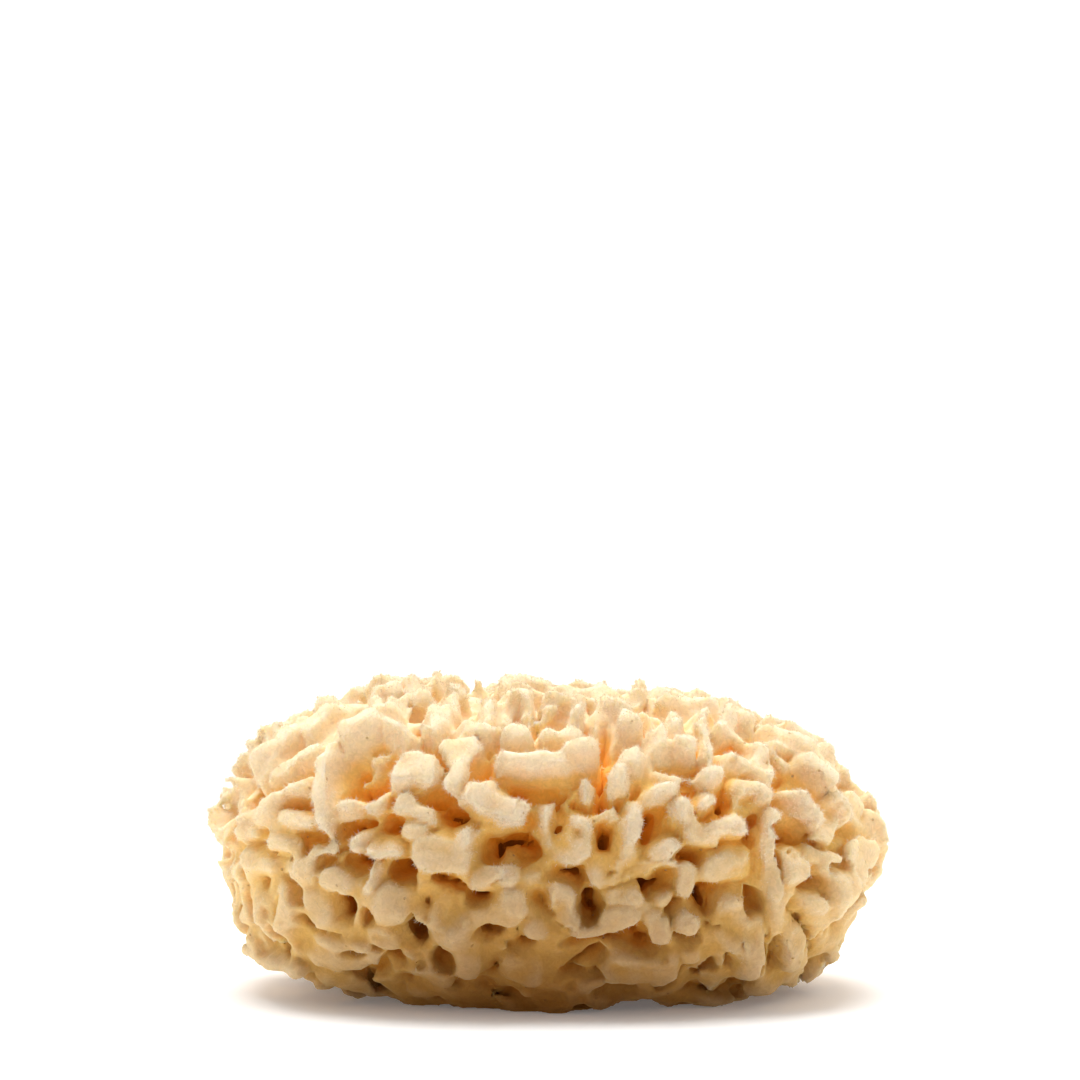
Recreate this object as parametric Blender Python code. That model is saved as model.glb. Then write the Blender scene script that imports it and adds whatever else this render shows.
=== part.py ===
"""A sea sponge: the whole dried skeleton of one animal, cut flat underneath where it grew on rock.

X runs along the sponge, -Y is its front and +Z is up. The origin is at the middle of the
footprint. The body is first an even loaf. Pits are hollowed out of its skin and lobes are
left standing on it, so that it reads as one open, knobbly mass.
"""

from itertools import permutations, product

import bpy
import numpy as np

MM = 0.001

# Driving dimensions of the loaf
LENGTH = 140 * MM
DEPTH = 98 * MM
AXIS_HEIGHT = 33 * MM
DEPTH_POWER = 2.3

# Front outline of the loaf in mm, across and up, from the left end over the top
OUTLINE = [
    (-70.3, 29), (-69.3, 38), (-67.5, 46), (-61.5, 52.5), (-52, 59), (-41, 63.5), (-30, 66),
    (-14, 64), (8, 63), (25, 61.5), (40, 60), (50, 55.5), (58.5, 50), (64, 42), (69.9, 34),
    (69.3, 25), (66, 17), (61, 9), (55, 2.5), (43, -2), (20, -3.5), (-20, -4), (-40, -2),
    (-55, 3), (-64, 10), (-68, 18),
]

# Places on the front are given as seen from this far off and this many degrees above
EYE_DISTANCE = 800 * MM
EYE_RISE = 6
SEEN_CENTRE = (0, 39)
BODY_MIDDLE = 35 * MM
SIGHT_SPAN = (0.85, 1.1, 400)

# Pits on the front in mm: across, up, wide, tall, degrees of tilt, deep
PITS = [
    # Upper left end
    (-57, 48.8, 14, 3, 5, 5), (-53.5, 43.2, 8, 3.2, -18, 5), (-64.4, 34.4, 4.5, 3, 0, 4),
    (-58, 32, 6, 2, -30, 4), (-52.2, 33, 1.6, 3.2, 0, 5), (-48, 31, 3, 1.8, 15, 4),
    (-54.5, 60.5, 4, 5, 0, 2.5), (-48.6, 56.2, 1.8, 4, 20, 4), (-65.8, 48, 3, 6, 0, 2.5),
    # The large bay and the gaps below its fingers
    (-43, 50, 9.4, 11.5, 5, 10), (-37, 50.5, 8, 8, 30, 8), (-40, 46.5, 4, 5, 0, 9),
    (-34.5, 54.5, 4, 6, 0, 5), (-42.6, 37.6, 9.4, 5.4, 10, 9), (-48.8, 36.3, 5, 4.2, -40, 8),
    (-43.8, 34.3, 1.8, 3.6, 0, 6), (-35.5, 37.5, 6.5, 6.5, -20, 9), (-33.7, 43.5, 3, 3.6, 0, 7),
    (-41.5, 29.3, 8.5, 5.5, -15, 9), (-38.6, 28, 3, 4.5, 0, 10),
    # Middle left
    (-25.4, 44, 8.4, 8, -40, 11), (-22, 40.4, 7, 6.4, -30, 12), (-27.5, 47, 5, 2.6, 0, 7),
    (-17.8, 38.4, 3.6, 5, -40, 10), (-12.8, 33.5, 5, 7.5, 10, 15), (-5.5, 34, 12, 8.5, 10, 9),
    (-4.2, 39.5, 5, 9, 10, 10), (1.8, 40.5, 4, 10, 5, 11), (-2, 46.4, 18, 8, -8, 8),
    (-14, 51.5, 4, 9, -15, 8), (-13, 56.5, 3.5, 3, 30, 5), (5.5, 44.8, 6, 4, -15, 8),
    # Upper middle
    (-29.8, 61, 3.4, 8, 12, 5), (-27, 64.8, 2, 5, -25, 5), (-27, 57.6, 4, 4.5, 0, 5),
    (-23.5, 53.5, 1.6, 6, 35, 4), (-17.8, 65.5, 5, 9, 12, 7), (-20.5, 59.6, 7, 2.6, 5, 5),
    (-8.8, 63.8, 5, 8, 15, 7), (-3.7, 60, 3.6, 9, 5, 7), (0.6, 62.4, 6, 5.4, 0, 8),
    (10.8, 52, 4.6, 14, 5, 10), (10, 60, 4, 9, 0, 6), (13.3, 57, 1.6, 5, -25, 4),
    (14.4, 43.2, 4, 6.6, 0, 9), (-0.5, 56.3, 3, 1.6, 0, 4), (-35.5, 67, 3.6, 7, 0, 3),
    (-31.3, 69, 3, 4, 0, 3), (-22.8, 68.5, 3.2, 10, 0, 4), (-2.6, 67, 4, 9, 0, 4),
    (-33.5, 57.5, 3.6, 3, -30, 4),
    # Upper right
    (25.3, 52.6, 11, 5.4, 0, 5), (21, 60.5, 3.4, 10, 8, 5), (29.8, 60.3, 3, 11, 3, 6),
    (29.2, 46.2, 5.6, 5.4, 0, 7), (36.8, 46, 4.4, 9, -8, 9), (34, 40.8, 4, 2.6, 25, 6),
    (40, 57, 10, 5, -5, 5), (36.2, 53.5, 2, 3, 0, 4), (51, 49.6, 4.6, 8, -30, 7),
    (34.6, 64, 3.6, 5, 20, 4), (43, 45, 5, 3, 20, 3), (20.8, 66.4, 3.4, 8, 0, 4),
    (44.6, 61.6, 3.2, 8, 0, 4), (33, 51.5, 5, 2, 0, 3), (46.3, 52.7, 3, 5, -20, 3),
    # Gaps beside the forked lobes
    (21, 38, 4.8, 9.6, -18, 10), (12.2, 35.4, 4.8, 9, 8, 11), (17, 46.5, 2.2, 4, 0, 5),
    (29, 31.8, 8, 4.4, -22, 6), (43.3, 37.5, 3.6, 8.5, 0, 10), (52.3, 36.8, 9.5, 7.4, 0, 13),
    (50.2, 42, 4.6, 7, 10, 8), (56.5, 45.2, 4, 5.6, 35, 6), (60, 34.8, 8, 2.4, 0, 4),
    (61.5, 48.6, 2.4, 6, 30, 4), (62.3, 40.5, 5, 2, -15, 3),
    # Right end
    (48.3, 29.2, 2, 6.5, 10, 7), (55, 28, 4, 3, -40, 7), (56.3, 25, 7, 4.6, -20, 7),
    (53, 31.5, 6, 2, -25, 4), (42, 21.5, 7.6, 9, -20, 7), (52, 20.8, 4, 4.6, 0, 4),
    (62, 28.8, 6, 3.4, -10, 4), (45.3, 12, 1.8, 9, 0, 6), (54.7, 13.8, 2, 7, 0, 4),
    (60.8, 17, 2, 5, -25, 3), (58, 24, 3, 4, 0, 3), (48.3, 9.5, 2.6, 8, 0, 4),
    (64.5, 21, 2.4, 7, -15, 3), (56.2, 10, 2, 6, -10, 3),
    # Middle of the lower front
    (-31, 27.6, 7, 6.4, 0, 10), (-22, 26.4, 7.6, 2, -20, 7), (-14.6, 22.8, 7, 4.4, -8, 10),
    (-9.5, 27.5, 8.4, 1.3, 42, 4), (-27.8, 13.6, 4.6, 6.4, 0, 12), (-29.6, 17.6, 2, 2.4, 0, 4),
    (-22.2, 8.4, 5.6, 4.4, 10, 11), (-32.6, 8, 6.4, 4.8, -25, 7), (-13, 14.8, 7.4, 5, 8, 6),
    (-11.7, 8.4, 1.8, 6, -38, 10), (-5.8, 12.6, 5.4, 3, 12, 7), (-3, 22.6, 3.2, 4, 20, 6),
    (-0.8, 19.4, 5, 1.8, -40, 5), (3, 16.6, 6, 2, -25, 5), (8.2, 20.6, 4, 7, 0, 17),
    (4.4, 27, 9, 5, -8, 9), (9, 26, 5, 3.4, 0, 7), (12, 27.6, 6, 3, 0, 4), (23, 26.2, 5, 7, -25, 10),
    (21, 24.6, 3, 3.6, 0, 9), (25, 20.2, 6, 1.8, 15, 6), (14.6, 23.6, 4.6, 1.8, 8, 3),
    (32.6, 21.4, 6, 7.8, -10, 11), (9, 13.2, 13, 4, 3, 5), (17.8, 15, 4, 5.4, 15, 7),
    (19.2, 12, 6.6, 3.6, 0, 9), (28.7, 13.8, 5.6, 3, -10, 14), (8, 8.6, 9, 1.8, 28, 6),
    (9, 5.6, 11, 1.6, 0, 5), (24.2, 9.4, 3.4, 1.6, 0, 3), (34, 7.4, 3.6, 3.8, 0, 6),
    (34.4, 16.4, 5.4, 2, -8, 4), (27, 5.6, 7, 1.8, 25, 5), (38, 9, 3, 5, 30, 3),
    (40.2, 14, 1.4, 4, 0, 3), (-24.5, 18.6, 5, 1.4, 30, 4),
    # Lower left end
    (-44, 21, 4.6, 8.4, 25, 9), (-38.4, 18.6, 4, 4.4, 0, 6), (-42, 10.9, 6, 2.6, 8, 11),
    (-52.4, 17.2, 7, 3, -35, 6), (-53.6, 23.6, 4, 5, 10, 4), (-61.8, 24.5, 3.4, 6, 15, 4),
    (-60, 17.5, 2.4, 8, 25, 4), (-57.3, 13.6, 2.4, 5, 20, 4), (-66, 26, 1.8, 10, 8, 3),
    (-55.5, 10, 5.6, 2, -18, 4), (-49.8, 27.8, 1.8, 5, 0, 4), (-56.2, 27.2, 3.4, 1.6, -20, 4),
    (-36.5, 11.6, 3, 2, 0, 4), (-47, 15.3, 6, 1.2, 0, 4), (-58, 21, 1.6, 6, 0, 3),
]

# All pits on the front are this much deeper than listed
DEEPER = 1.6

# Lobes on the front in mm: across, up, wide, tall, degrees of tilt, rise above the loaf
LOBES = [
    # Fingers and knobs at the left
    (-48.2, 47, 4.4, 19, -4, 1.2), (-42.8, 43.4, 5, 4, 25, 1), (-37.6, 42.8, 4, 5.6, -15, 1.4),
    (-34.9, 32.4, 8, 3.8, -4, 2.6), (-41, 35, 3.6, 5.6, 0, 1.2), (-57, 45.2, 11, 3.4, 5, 0.4),
    (-57.8, 34.4, 5.4, 4, -25, 0.8), (-62, 30.6, 7.6, 5, -15, 1), (-37, 27.5, 2.6, 8, -12, 1.4),
    (-58, 56, 13, 6, 35, 0.6), (-49, 62, 10, 5, 25, 0.8), (-62.5, 41, 8, 5, 10, 0.6),
    (-54.5, 53, 11, 4, 10, 0.6), (-53.5, 39.5, 8, 3.6, -15, 0.6), (-41, 51.4, 5, 2.4, -10, -2),
    (-41, 60.5, 10, 5, 15, 0.8), (-64.5, 36.5, 4, 4, 0, 0.8), (-51.5, 28.5, 7, 4.4, -20, 0.6),
    (-45.5, 26.5, 7, 5, -25, 0.8), (-61.5, 20.5, 4, 8, 20, 0.6), (-56, 21, 5.5, 9, 12, 0.6),
    # Walls along the top of the front
    (-33.4, 60.4, 4.6, 8, 35, 0.8), (-36, 65.5, 6, 4, 10, 0.8), (-24.6, 63, 4, 9, 10, 1),
    (-21.4, 65.4, 4, 11, -8, 1), (-13.4, 64.4, 3.6, 9, 0, 1.2), (-7, 58, 8, 3.6, -5, 0.8),
    (-6.4, 66.6, 7, 4, -10, 0.8), (-26, 59.6, 7, 2.6, 12, 0.6), (5, 61.6, 3.6, 8, -12, 1.4),
    (1.6, 66, 9, 3, 5, 0.8), (13.8, 64.4, 9, 4, -28, 1), (16.4, 60.8, 5.6, 4.6, 0, 1),
    (25.6, 61.4, 4.6, 9, 6, 1.2), (22.6, 57, 6, 4.6, 20, 0.8), (31.6, 62, 3.6, 9, 0, 1),
    (28.6, 55.6, 6, 2.8, 0, 0.8), (36.4, 61.4, 4, 8, -15, 1), (41, 62, 6, 5, -20, 0.8),
    (33, 57, 3.6, 9, 5, 0.6), (45.4, 52.6, 6, 7, -10, 1), (39.6, 53.4, 7, 2.8, -10, 0.8),
    (50.4, 57.4, 10, 4, -25, 0.8), (34.2, 49.6, 7, 4, 10, 1),
    # Mound, rough lobe and heart-shaped lobe
    (-29, 51, 11, 8, -5, 1.4), (-28.4, 42.2, 12, 5.6, -28, 1.8), (-28.5, 36.8, 6.4, 5, 0, 1.6),
    (-18.6, 36, 5, 7, 8, 2.4), (-23, 32.4, 14, 9, -12, 2.2), (-12.2, 28, 10, 5, 8, 0.6),
    # Block, forked lobe and long shelf
    (-12, 43.4, 14.5, 7.6, -28, 2.8), (-19.6, 55, 9, 7, 15, 1), (-20.6, 49, 4.6, 8, -8, 0.8),
    (-14, 60, 10, 3.4, 12, 0.6), (-4.5, 52.4, 15, 3.6, -4, 2.2), (6, 54.6, 9, 3.6, 12, 2.4),
    (2.6, 58.8, 10, 3.6, 4, 1), (-1, 38.6, 4.2, 9, 8, -0.6), (7.8, 48, 3.6, 3.8, 0, 0.6),
    # Forked lobes
    (7, 36.4, 4.8, 9, -5, 1.6), (5.4, 31.6, 7, 4, 20, 1.8), (12, 41, 6, 5, 0, -0.5),
    (16.8, 35, 5, 15, 4, 1.2), (23.6, 32.5, 5.4, 7, -35, 1), (13.6, 48.4, 6, 4.4, 20, 1.8),
    (16.6, 53, 5.2, 5, 0, 1), (23.6, 46, 6.2, 3.6, 5, 2), (28.2, 40.6, 5, 7.6, 25, 1.8),
    (36.4, 38.4, 12, 6, 12, 2.4), (32.4, 43, 3.6, 5, -25, 1.4),
    # Right end
    (46.4, 38.2, 3.6, 8, -8, 2), (46.6, 28.6, 4.4, 15, 3, 1.6), (53.8, 42.4, 8.4, 3.6, -48, 1.8),
    (56.4, 49.6, 7, 4, -38, 1.6), (52, 28.6, 6, 6, 0, 2), (47, 19.6, 3.8, 9, 0, 0.8),
    (54.6, 21.5, 6, 4, -25, 0.8), (60.6, 43.2, 5.6, 3.2, -25, 0.8), (60.5, 22, 3.6, 8, -10, 0.6),
    (44, 47, 7.6, 4, -12, 0.8),
    # Ring round the dark hole and the lowest rows
    (2.2, 22, 6.4, 7, -20, 1.2), (7.5, 16, 9, 3.6, 0, 1.2), (14, 19, 8, 6, 15, 1.4),
    (22.5, 16.5, 6.4, 8, 10, 1.4), (28.5, 17.6, 7, 5, -25, 1.8), (14.6, 8.6, 8, 5.4, 0, 1.4),
    (23.4, 6.8, 8.6, 5.6, 12, 1.4), (29.4, 10, 5, 4, 0, 1.2), (42, 12, 5.4, 13, 4, 1.4),
    (51.5, 11.6, 4.6, 10, 0, 0.6), (-7, 7, 10, 6, 0, 1), (-17, 9.6, 6, 9, 0, 0.8),
    (-23.4, 19, 5, 7.6, -10, 0.8), (-8.5, 20.5, 6.4, 9, -15, 0.8), (-44.5, 12.6, 12, 3, 5, 0.6),
]

# Little spur at the lower left: across and up of its root and tip, and its thickness
SPUR_ROOT = (-51, 9)
SPUR_TIP = (-63.5, 11.4)
SPUR_RADIUS = 2.6 * MM
SPUR_TIP_RADIUS = 0.9 * MM

# Pits and lobes over the rest of the skin
GAP = 8.4 * MM
TOP_GAP = 10.5 * MM
TOP = 52 * MM
PIT_WIDTHS = (0.5, 1.15)
PIT_DEPTHS = (7 * MM, 13 * MM)
LOBE_WIDTHS = (3.6 * MM, 6 * MM)
LOBE_LENGTHS = (6 * MM, 14 * MM)
LOBE_RISES = (-0.6 * MM, 1.2 * MM)
TRIES = 12000

# Relief: wavelength and size
LUMPS = [(13 * MM, 1.6 * MM), (6 * MM, 1.0 * MM)]
KNURLS = (3.4 * MM, 0.75 * MM)
WANDER = [(10 * MM, 1.3 * MM), (5.2 * MM, 0.95 * MM)]

# Creases that part the skin into small knobs: their spacing, width and depth
KNOB_SPACING = 7.5 * MM
CREASE_WIDTH = 3.4 * MM
CREASE_DEPTH = 3.2 * MM

# How far the skin between the front's lobes lies under the loaf, low down and high up
RECESS_LOW = 0.6 * MM
RECESS_HIGH = 2.6 * MM
RECESS_HEIGHTS = (22 * MM, 42 * MM)
FACING_FULLY = 0.4
BLEND = 0.55 * MM

# Pits listed with at least this depth in mm also cut through the lobes beside them
HOLE_DEPTH = 11.5

# How deep a pit's widest place lies, as a share of its depth and of its narrow width
SUNK_IN_DEPTH = 0.3
SUNK_IN_WIDTH = 0.3

# A lobe's widest place lies this deep, and its dome is cut off this far below its full height
LOBE_ROOT = 5 * MM
LOBE_CUT = 1.5 * MM

# Steepest slant at which the width of something seen on the front is still carried over
LEAST_FACING = 0.55

# Places turned to the eye by less than this belong to the sides, back and top
FRONT_FACING = 0.12

# Fineness of the grid and of the finished skin
CELL = 1.25 * MM
TRIANGLES = 9700
SEED = 11
SIDE_ROOM = 6 * MM
FLOOR_ROOM = 3.125 * MM
SPAN = (152.5 * MM, 110 * MM, 80 * MM)
MARGIN = 3.5 * MM
CUT_BAND = 0.4 * MM
SKIN_REACH = 25 * MM


def outline_ring():
    """Angles about the loaf's long axis, and the front outline's distance from it there."""
    across, up = np.array(OUTLINE).T * MM
    rise = up - AXIS_HEIGHT
    around = np.arctan2(rise, across)
    order = np.argsort(around)
    turn = np.linspace(-np.pi, np.pi, 181)
    reach = np.interp(turn, around[order], np.hypot(across, rise)[order], period=2 * np.pi)
    smooth = sum(np.roll(reach[:-1], shift) for shift in range(-2, 3)) / 5
    return turn[:-1], smooth


RING = outline_ring()


def loaf(points):
    """1 on the loaf's surface, less inside it."""
    x, y, z = points
    z = z - AXIS_HEIGHT
    radius = np.hypot(x, z) / np.interp(np.arctan2(z, x), *RING, period=2 * np.pi)
    return (radius**DEPTH_POWER + np.abs(2 * y / DEPTH) ** DEPTH_POWER) ** (1 / DEPTH_POWER)


def unit(vector):
    return vector / np.linalg.norm(vector)


def outward_at(point):
    """The loaf's outward direction."""
    step = 0.5 * MM
    return unit(np.array([loaf(point + step * e) - loaf(point - step * e) for e in np.eye(3)]))


class Eye:
    """The place the front is described from."""

    def __init__(self):
        rise = np.radians(EYE_RISE)
        self.toward = np.array([0, -np.cos(rise), np.sin(rise)])
        self.up = np.array([0, np.sin(rise), np.cos(rise)])
        self.middle = np.array([0, 0, BODY_MIDDLE])
        self.place = self.middle + EYE_DISTANCE * self.toward

    def front_point(self, across, up):
        """Where a place seen on the front meets the loaf, or passes nearest to it."""
        aside = across - SEEN_CENTRE[0]
        rise = up - SEEN_CENTRE[1]
        seen = self.middle + MM * (aside * np.eye(3)[0] + rise * self.up)
        line = self.place[:, None] + (seen - self.place)[:, None] * np.linspace(*SIGHT_SPAN)
        values = loaf(line)
        within = np.flatnonzero(values < 1)
        index = within[0] if len(within) else values.argmin()
        return line[:, index]

    def half_axes(self, point, wide, tall, tilt):
        """The two half axes along the skin of something seen this wide and tall."""
        outward = outward_at(point)
        right = unit(np.eye(3)[0] - outward[0] * outward)
        rising = np.cross(outward, right)
        right = right / max(right[0], LEAST_FACING)
        rising = rising / max(rising @ self.up, LEAST_FACING)
        turn = np.radians(tilt)
        first = np.cos(turn) * right + np.sin(turn) * rising
        second = np.cos(turn) * rising - np.sin(turn) * right
        return first * wide / 2, second * tall / 2, outward


class Block:
    """The block of space that the sponge grows in, sampled on an even grid."""

    def __init__(self, cell):
        self.cell = cell
        self.low = np.array([-LENGTH / 2 - SIDE_ROOM, -DEPTH / 2 - SIDE_ROOM, -FLOOR_ROOM])
        self.count = np.ceil(np.array(SPAN) / cell - 1e-6).astype(int) + 1
        self.axes = [self.low[k] + cell * np.arange(self.count[k]) for k in range(3)]
        self.points = np.stack(np.meshgrid(*self.axes, indexing="ij"))

    def noise(self, wavelength, seed):
        """Smooth noise of about -1 to 1, from random values a wavelength apart."""
        rng = np.random.default_rng(seed)
        weights = []
        for axis, span in zip(self.axes, SPAN):
            place = np.minimum(axis - axis[0], span) / wavelength
            knots = np.arange(int(span / wavelength) + 4)
            away = np.abs(place[:, None] + 1 - knots)
            near = 2 / 3 - away**2 + away**3 / 2
            far = (2 - away) ** 3 / 6
            weights.append(np.where(away < 1, near, np.where(away < 2, far, 0)))
        values = rng.uniform(-1, 1, [w.shape[1] for w in weights])
        return 2 * np.einsum("ia,jb,kc,abc->ijk", *weights, values, optimize=True)

    def creases(self, places, seed):
        """1 on the border between neighbouring knobs, falling to 0 away from it."""
        rng = np.random.default_rng(seed)
        nearest = np.full(self.count, 1.0)
        second = np.full(self.count, 1.0)
        spans = [
            np.arange(low, low + span + KNOB_SPACING, KNOB_SPACING)
            for low, span in zip(self.low, SPAN)
        ]
        for corner in product(*spans):
            centre = np.array(corner) + rng.uniform(-0.45, 0.45, 3) * KNOB_SPACING
            window = self.window(centre, 1.7 * KNOB_SPACING)
            offset = places[(slice(None), *window)] - centre[:, None, None, None]
            away = np.sqrt((offset**2).sum(0))
            second[window] = np.minimum(second[window], np.maximum(nearest[window], away))
            nearest[window] = np.minimum(nearest[window], away)
        return np.clip(1 - (second - nearest) / CREASE_WIDTH, 0, 1) ** 2

    def window(self, centre, reach):
        """The part of the grid within a reach of a place."""
        first = np.floor((centre - reach - self.low) / self.cell).astype(int)
        last = np.ceil((centre + reach - self.low) / self.cell).astype(int) + 1
        return tuple(slice(max(a, 0), max(b, 0)) for a, b in zip(first, last))

    def at(self, array, point):
        """The value of an array at the grid point next to a place."""
        index = np.rint((point - self.low) / self.cell).astype(int)
        index = np.clip(index, 0, self.count - 1)
        return array[(..., *index)]


def egg_distance(offset, half_axes):
    """Distance from an egg-shaped form, given its three half axes as columns."""
    inverse = np.linalg.inv(half_axes)
    local = np.tensordot(inverse, offset, 1)
    reach = np.sqrt((local**2).sum(0))
    slope = np.sqrt((np.tensordot(inverse.T, local, 1) ** 2).sum(0)) + 1e-6
    return reach * (reach - 1) / slope


def soft_max(first, second):
    return BLEND * np.logaddexp(first / BLEND, second / BLEND)


def front_forms(eye):
    """Pits and lobes of the front, as their place, half axes and depth or rise."""
    pits, lobes = [], []
    for listed, forms, more in ((PITS, pits, DEEPER), (LOBES, lobes, 1)):
        for across, up, wide, tall, tilt, deep in listed:
            point = eye.front_point(across, up)
            first, second, outward = eye.half_axes(point, wide * MM, tall * MM, tilt)
            forms.append((point, first, second, outward, more * deep * MM))
    return pits, lobes


def scattered_forms(eye, rng):
    """Pits and lobes of the sides, back and top, kept apart from each other and off the front."""
    pits, lobes = [], []
    centre = np.array([0, 0, AXIS_HEIGHT])
    taken = np.zeros((0, 3))
    lobe_places = np.zeros((0, 3))
    for _ in range(TRIES):
        direction = unit(rng.normal(size=3) * np.array([1.3, 1, 0.8])) * 10 * MM
        point = centre + direction / loaf(centre + direction)
        outward = outward_at(point)
        if outward @ unit(eye.place - point) > FRONT_FACING or point[2] < 0:
            continue
        gap = TOP_GAP if point[2] > TOP else GAP
        side = unit(np.cross(outward, rng.normal(size=3)))
        other = np.cross(outward, side)
        if not len(taken) or np.linalg.norm(taken - point, axis=1).min() > gap:
            taken = np.vstack([taken, point])
            wide, tall = gap * rng.uniform(*PIT_WIDTHS, 2)
            pits.append((point, side * wide / 2, other * tall / 2, outward, rng.uniform(*PIT_DEPTHS)))
        elif not len(lobe_places) or np.linalg.norm(lobe_places - point, axis=1).min() > gap:
            lobe_places = np.vstack([lobe_places, point])
            wide, tall = rng.uniform(*LOBE_WIDTHS), rng.uniform(*LOBE_LENGTHS)
            lobes.append((point, side * wide / 2, other * tall / 2, outward, rng.uniform(*LOBE_RISES)))
    return pits, lobes


def spur_distance(eye, places):
    """Distance from the tapering spur."""
    root, tip = eye.front_point(*SPUR_ROOT), eye.front_point(*SPUR_TIP)
    along = tip - root
    offset = places - root[:, None, None, None]
    share = np.clip(np.tensordot(along, offset, 1) / (along @ along), 0, 1)
    away = np.sqrt(((offset - along[:, None, None, None] * share) ** 2).sum(0))
    return away - SPUR_RADIUS - (SPUR_TIP_RADIUS - SPUR_RADIUS) * share


def chambers(block, places, wander, pits):
    """Hollows of some pits, as a signed field below 0 in them."""
    open_space = np.zeros(block.count)
    for point, first, second, outward, deep in pits:
        wide, tall = 2 * np.linalg.norm(first), 2 * np.linalg.norm(second)
        sunk = min(SUNK_IN_DEPTH * deep, SUNK_IN_WIDTH * min(wide, tall))
        centre = point - sunk * outward
        centre = centre + block.at(wander, centre)
        half_axes = np.stack([first, second, outward * (deep - sunk)], 1)
        window = block.window(centre, max(wide / 2, tall / 2, deep) + MARGIN)
        offset = places[(slice(None), *window)] - centre[:, None, None, None]
        open_space[window] += np.exp(-egg_distance(offset, half_axes) / BLEND)
    return -BLEND * np.log(open_space + 1e-9)


def grow(block):
    """The sponge as a signed field, below 0 inside it."""
    wander = np.stack([
        sum(size * block.noise(wave, 100 * k + n) for n, (wave, size) in enumerate(WANDER))
        for k in range(3)
    ])
    places = block.points + wander
    shape = loaf(places.reshape(3, -1)).reshape(block.count)
    slope = np.sqrt(sum(g**2 for g in np.gradient(shape, block.cell)))
    skin = np.clip((shape - 1) / slope, -SKIN_REACH, SKIN_REACH)
    skin -= sum(size * block.noise(wave, 50 + n) for n, (wave, size) in enumerate(LUMPS))
    knurls = KNURLS[1] * block.noise(KNURLS[0], 60)
    low, high = RECESS_HEIGHTS
    height = np.clip((block.points[2] - low) / (high - low), 0, 1)
    recess = RECESS_LOW + (RECESS_HIGH - RECESS_LOW) * height
    eye = Eye()
    turned = sum(g * part for g, part in zip(np.gradient(shape, block.cell), eye.toward)) / slope
    recess = recess * np.clip(turned / FACING_FULLY, 0, 1)
    knobbly = skin - knurls + recess + CREASE_DEPTH * block.creases(places, 70)

    pits, lobes = front_forms(eye)
    more_pits, more_lobes = scattered_forms(eye, np.random.default_rng(SEED))
    field = soft_max(knobbly, -chambers(block, places, wander, pits + more_pits))

    for point, first, second, outward, rise in lobes + more_lobes:
        centre = point - LOBE_ROOT * outward
        centre = centre + block.at(wander, centre)
        half_axes = np.stack([first, second, outward * (LOBE_ROOT + max(rise, 0) + LOBE_CUT)], 1)
        window = block.window(centre, np.linalg.norm(half_axes, axis=0).max() + MARGIN)
        offset = places[(slice(None), *window)] - centre[:, None, None, None]
        lobe = soft_max(egg_distance(offset, half_axes), skin[window] - rise) - knurls[window]
        field[window] = -soft_max(-field[window], -lobe)
    holes = [form for form, listed in zip(pits, PITS) if listed[-1] >= HOLE_DEPTH]
    field = soft_max(field, -chambers(block, places, wander, holes))
    field = -soft_max(-field, -spur_distance(eye, places))
    return np.maximum(field, -block.points[2])


def skin_mesh(block, field):
    """Closed surface where the field is 0, with each grid cube read as six tetrahedra."""
    inside = field < 0
    total = sum(
        inside[tuple(slice(c, n - 1 + c) for c, n in zip(corner, block.count))].astype(int)
        for corner in product((0, 1), repeat=3)
    )
    cubes = np.argwhere((total > 0) & (total < 8))
    strides = np.array([block.count[1] * block.count[2], block.count[2], 1])
    values = field.ravel()
    triangles = []
    for order in permutations(range(3)):
        steps = np.zeros((4, 3), int)
        for n, axis in enumerate(order):
            steps[n + 1:, axis] = 1
        corners = (cubes @ strides)[:, None] + steps @ strides
        mirrored = np.linalg.det(np.eye(3)[list(order)]) < 0
        case = (values[corners] < 0) @ np.array([1, 2, 4, 8])
        for mask in range(1, 15):
            chosen = corners[case == mask]
            within = [k for k in range(4) if mask >> k & 1]
            without = [k for k in range(4) if not mask >> k & 1]
            if len(within) == 2:
                (a, b), (c, d) = within, without
                loops = [[(a, c), (b, c), (b, d)], [(a, c), (b, d), (a, d)]]
                turned = np.linalg.det(np.eye(4)[[a, b, c, d]]) > 0
            else:
                (a,), (b, c, d) = sorted((within, without), key=len)
                loops = [[(a, b), (a, c), (a, d)]]
                turned = (np.linalg.det(np.eye(4)[[a, b, c, d]]) < 0) == (len(within) == 1)
            for loop in loops:
                loop = [sorted(edge) for edge in loop]
                if turned != mirrored:
                    loop = loop[::-1]
                triangles.append(chosen[:, loop])
    ends = np.concatenate(triangles)
    edges, faces = np.unique(ends[..., 0] * values.size + ends[..., 1], return_inverse=True)
    a, b = edges // values.size, edges % values.size
    share = np.clip(values[a] / (values[a] - values[b]), 0.02, 0.98)
    flat = block.points.reshape(3, -1)
    vertices = (flat[:, a] + share * (flat[:, b] - flat[:, a])).T
    return vertices, faces.reshape(-1, 3)


def one_piece(vertices, faces):
    """The largest joined piece of a mesh."""
    label = np.arange(len(vertices))
    changed = True
    while changed:
        lowest = label[faces].min(1)
        before = label.copy()
        for corner in range(3):
            np.minimum.at(label, faces[:, corner], lowest)
        label = label[label]
        changed = (label != before).any()
    main = np.bincount(label).argmax()
    kept = np.flatnonzero(label == main)
    number = np.full(len(vertices), -1)
    number[kept] = np.arange(len(kept))
    return vertices[kept], number[faces[label[faces[:, 0]] == main]]


def sponge_material():
    material = bpy.data.materials.new("sponge")
    material.use_nodes = True
    shader = material.node_tree.nodes["Principled BSDF"]
    shader.inputs["Base Color"].default_value = (0.86, 0.66, 0.40, 1)
    shader.inputs["Roughness"].default_value = 0.9
    shader.inputs["Metallic"].default_value = 0
    return material


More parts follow.
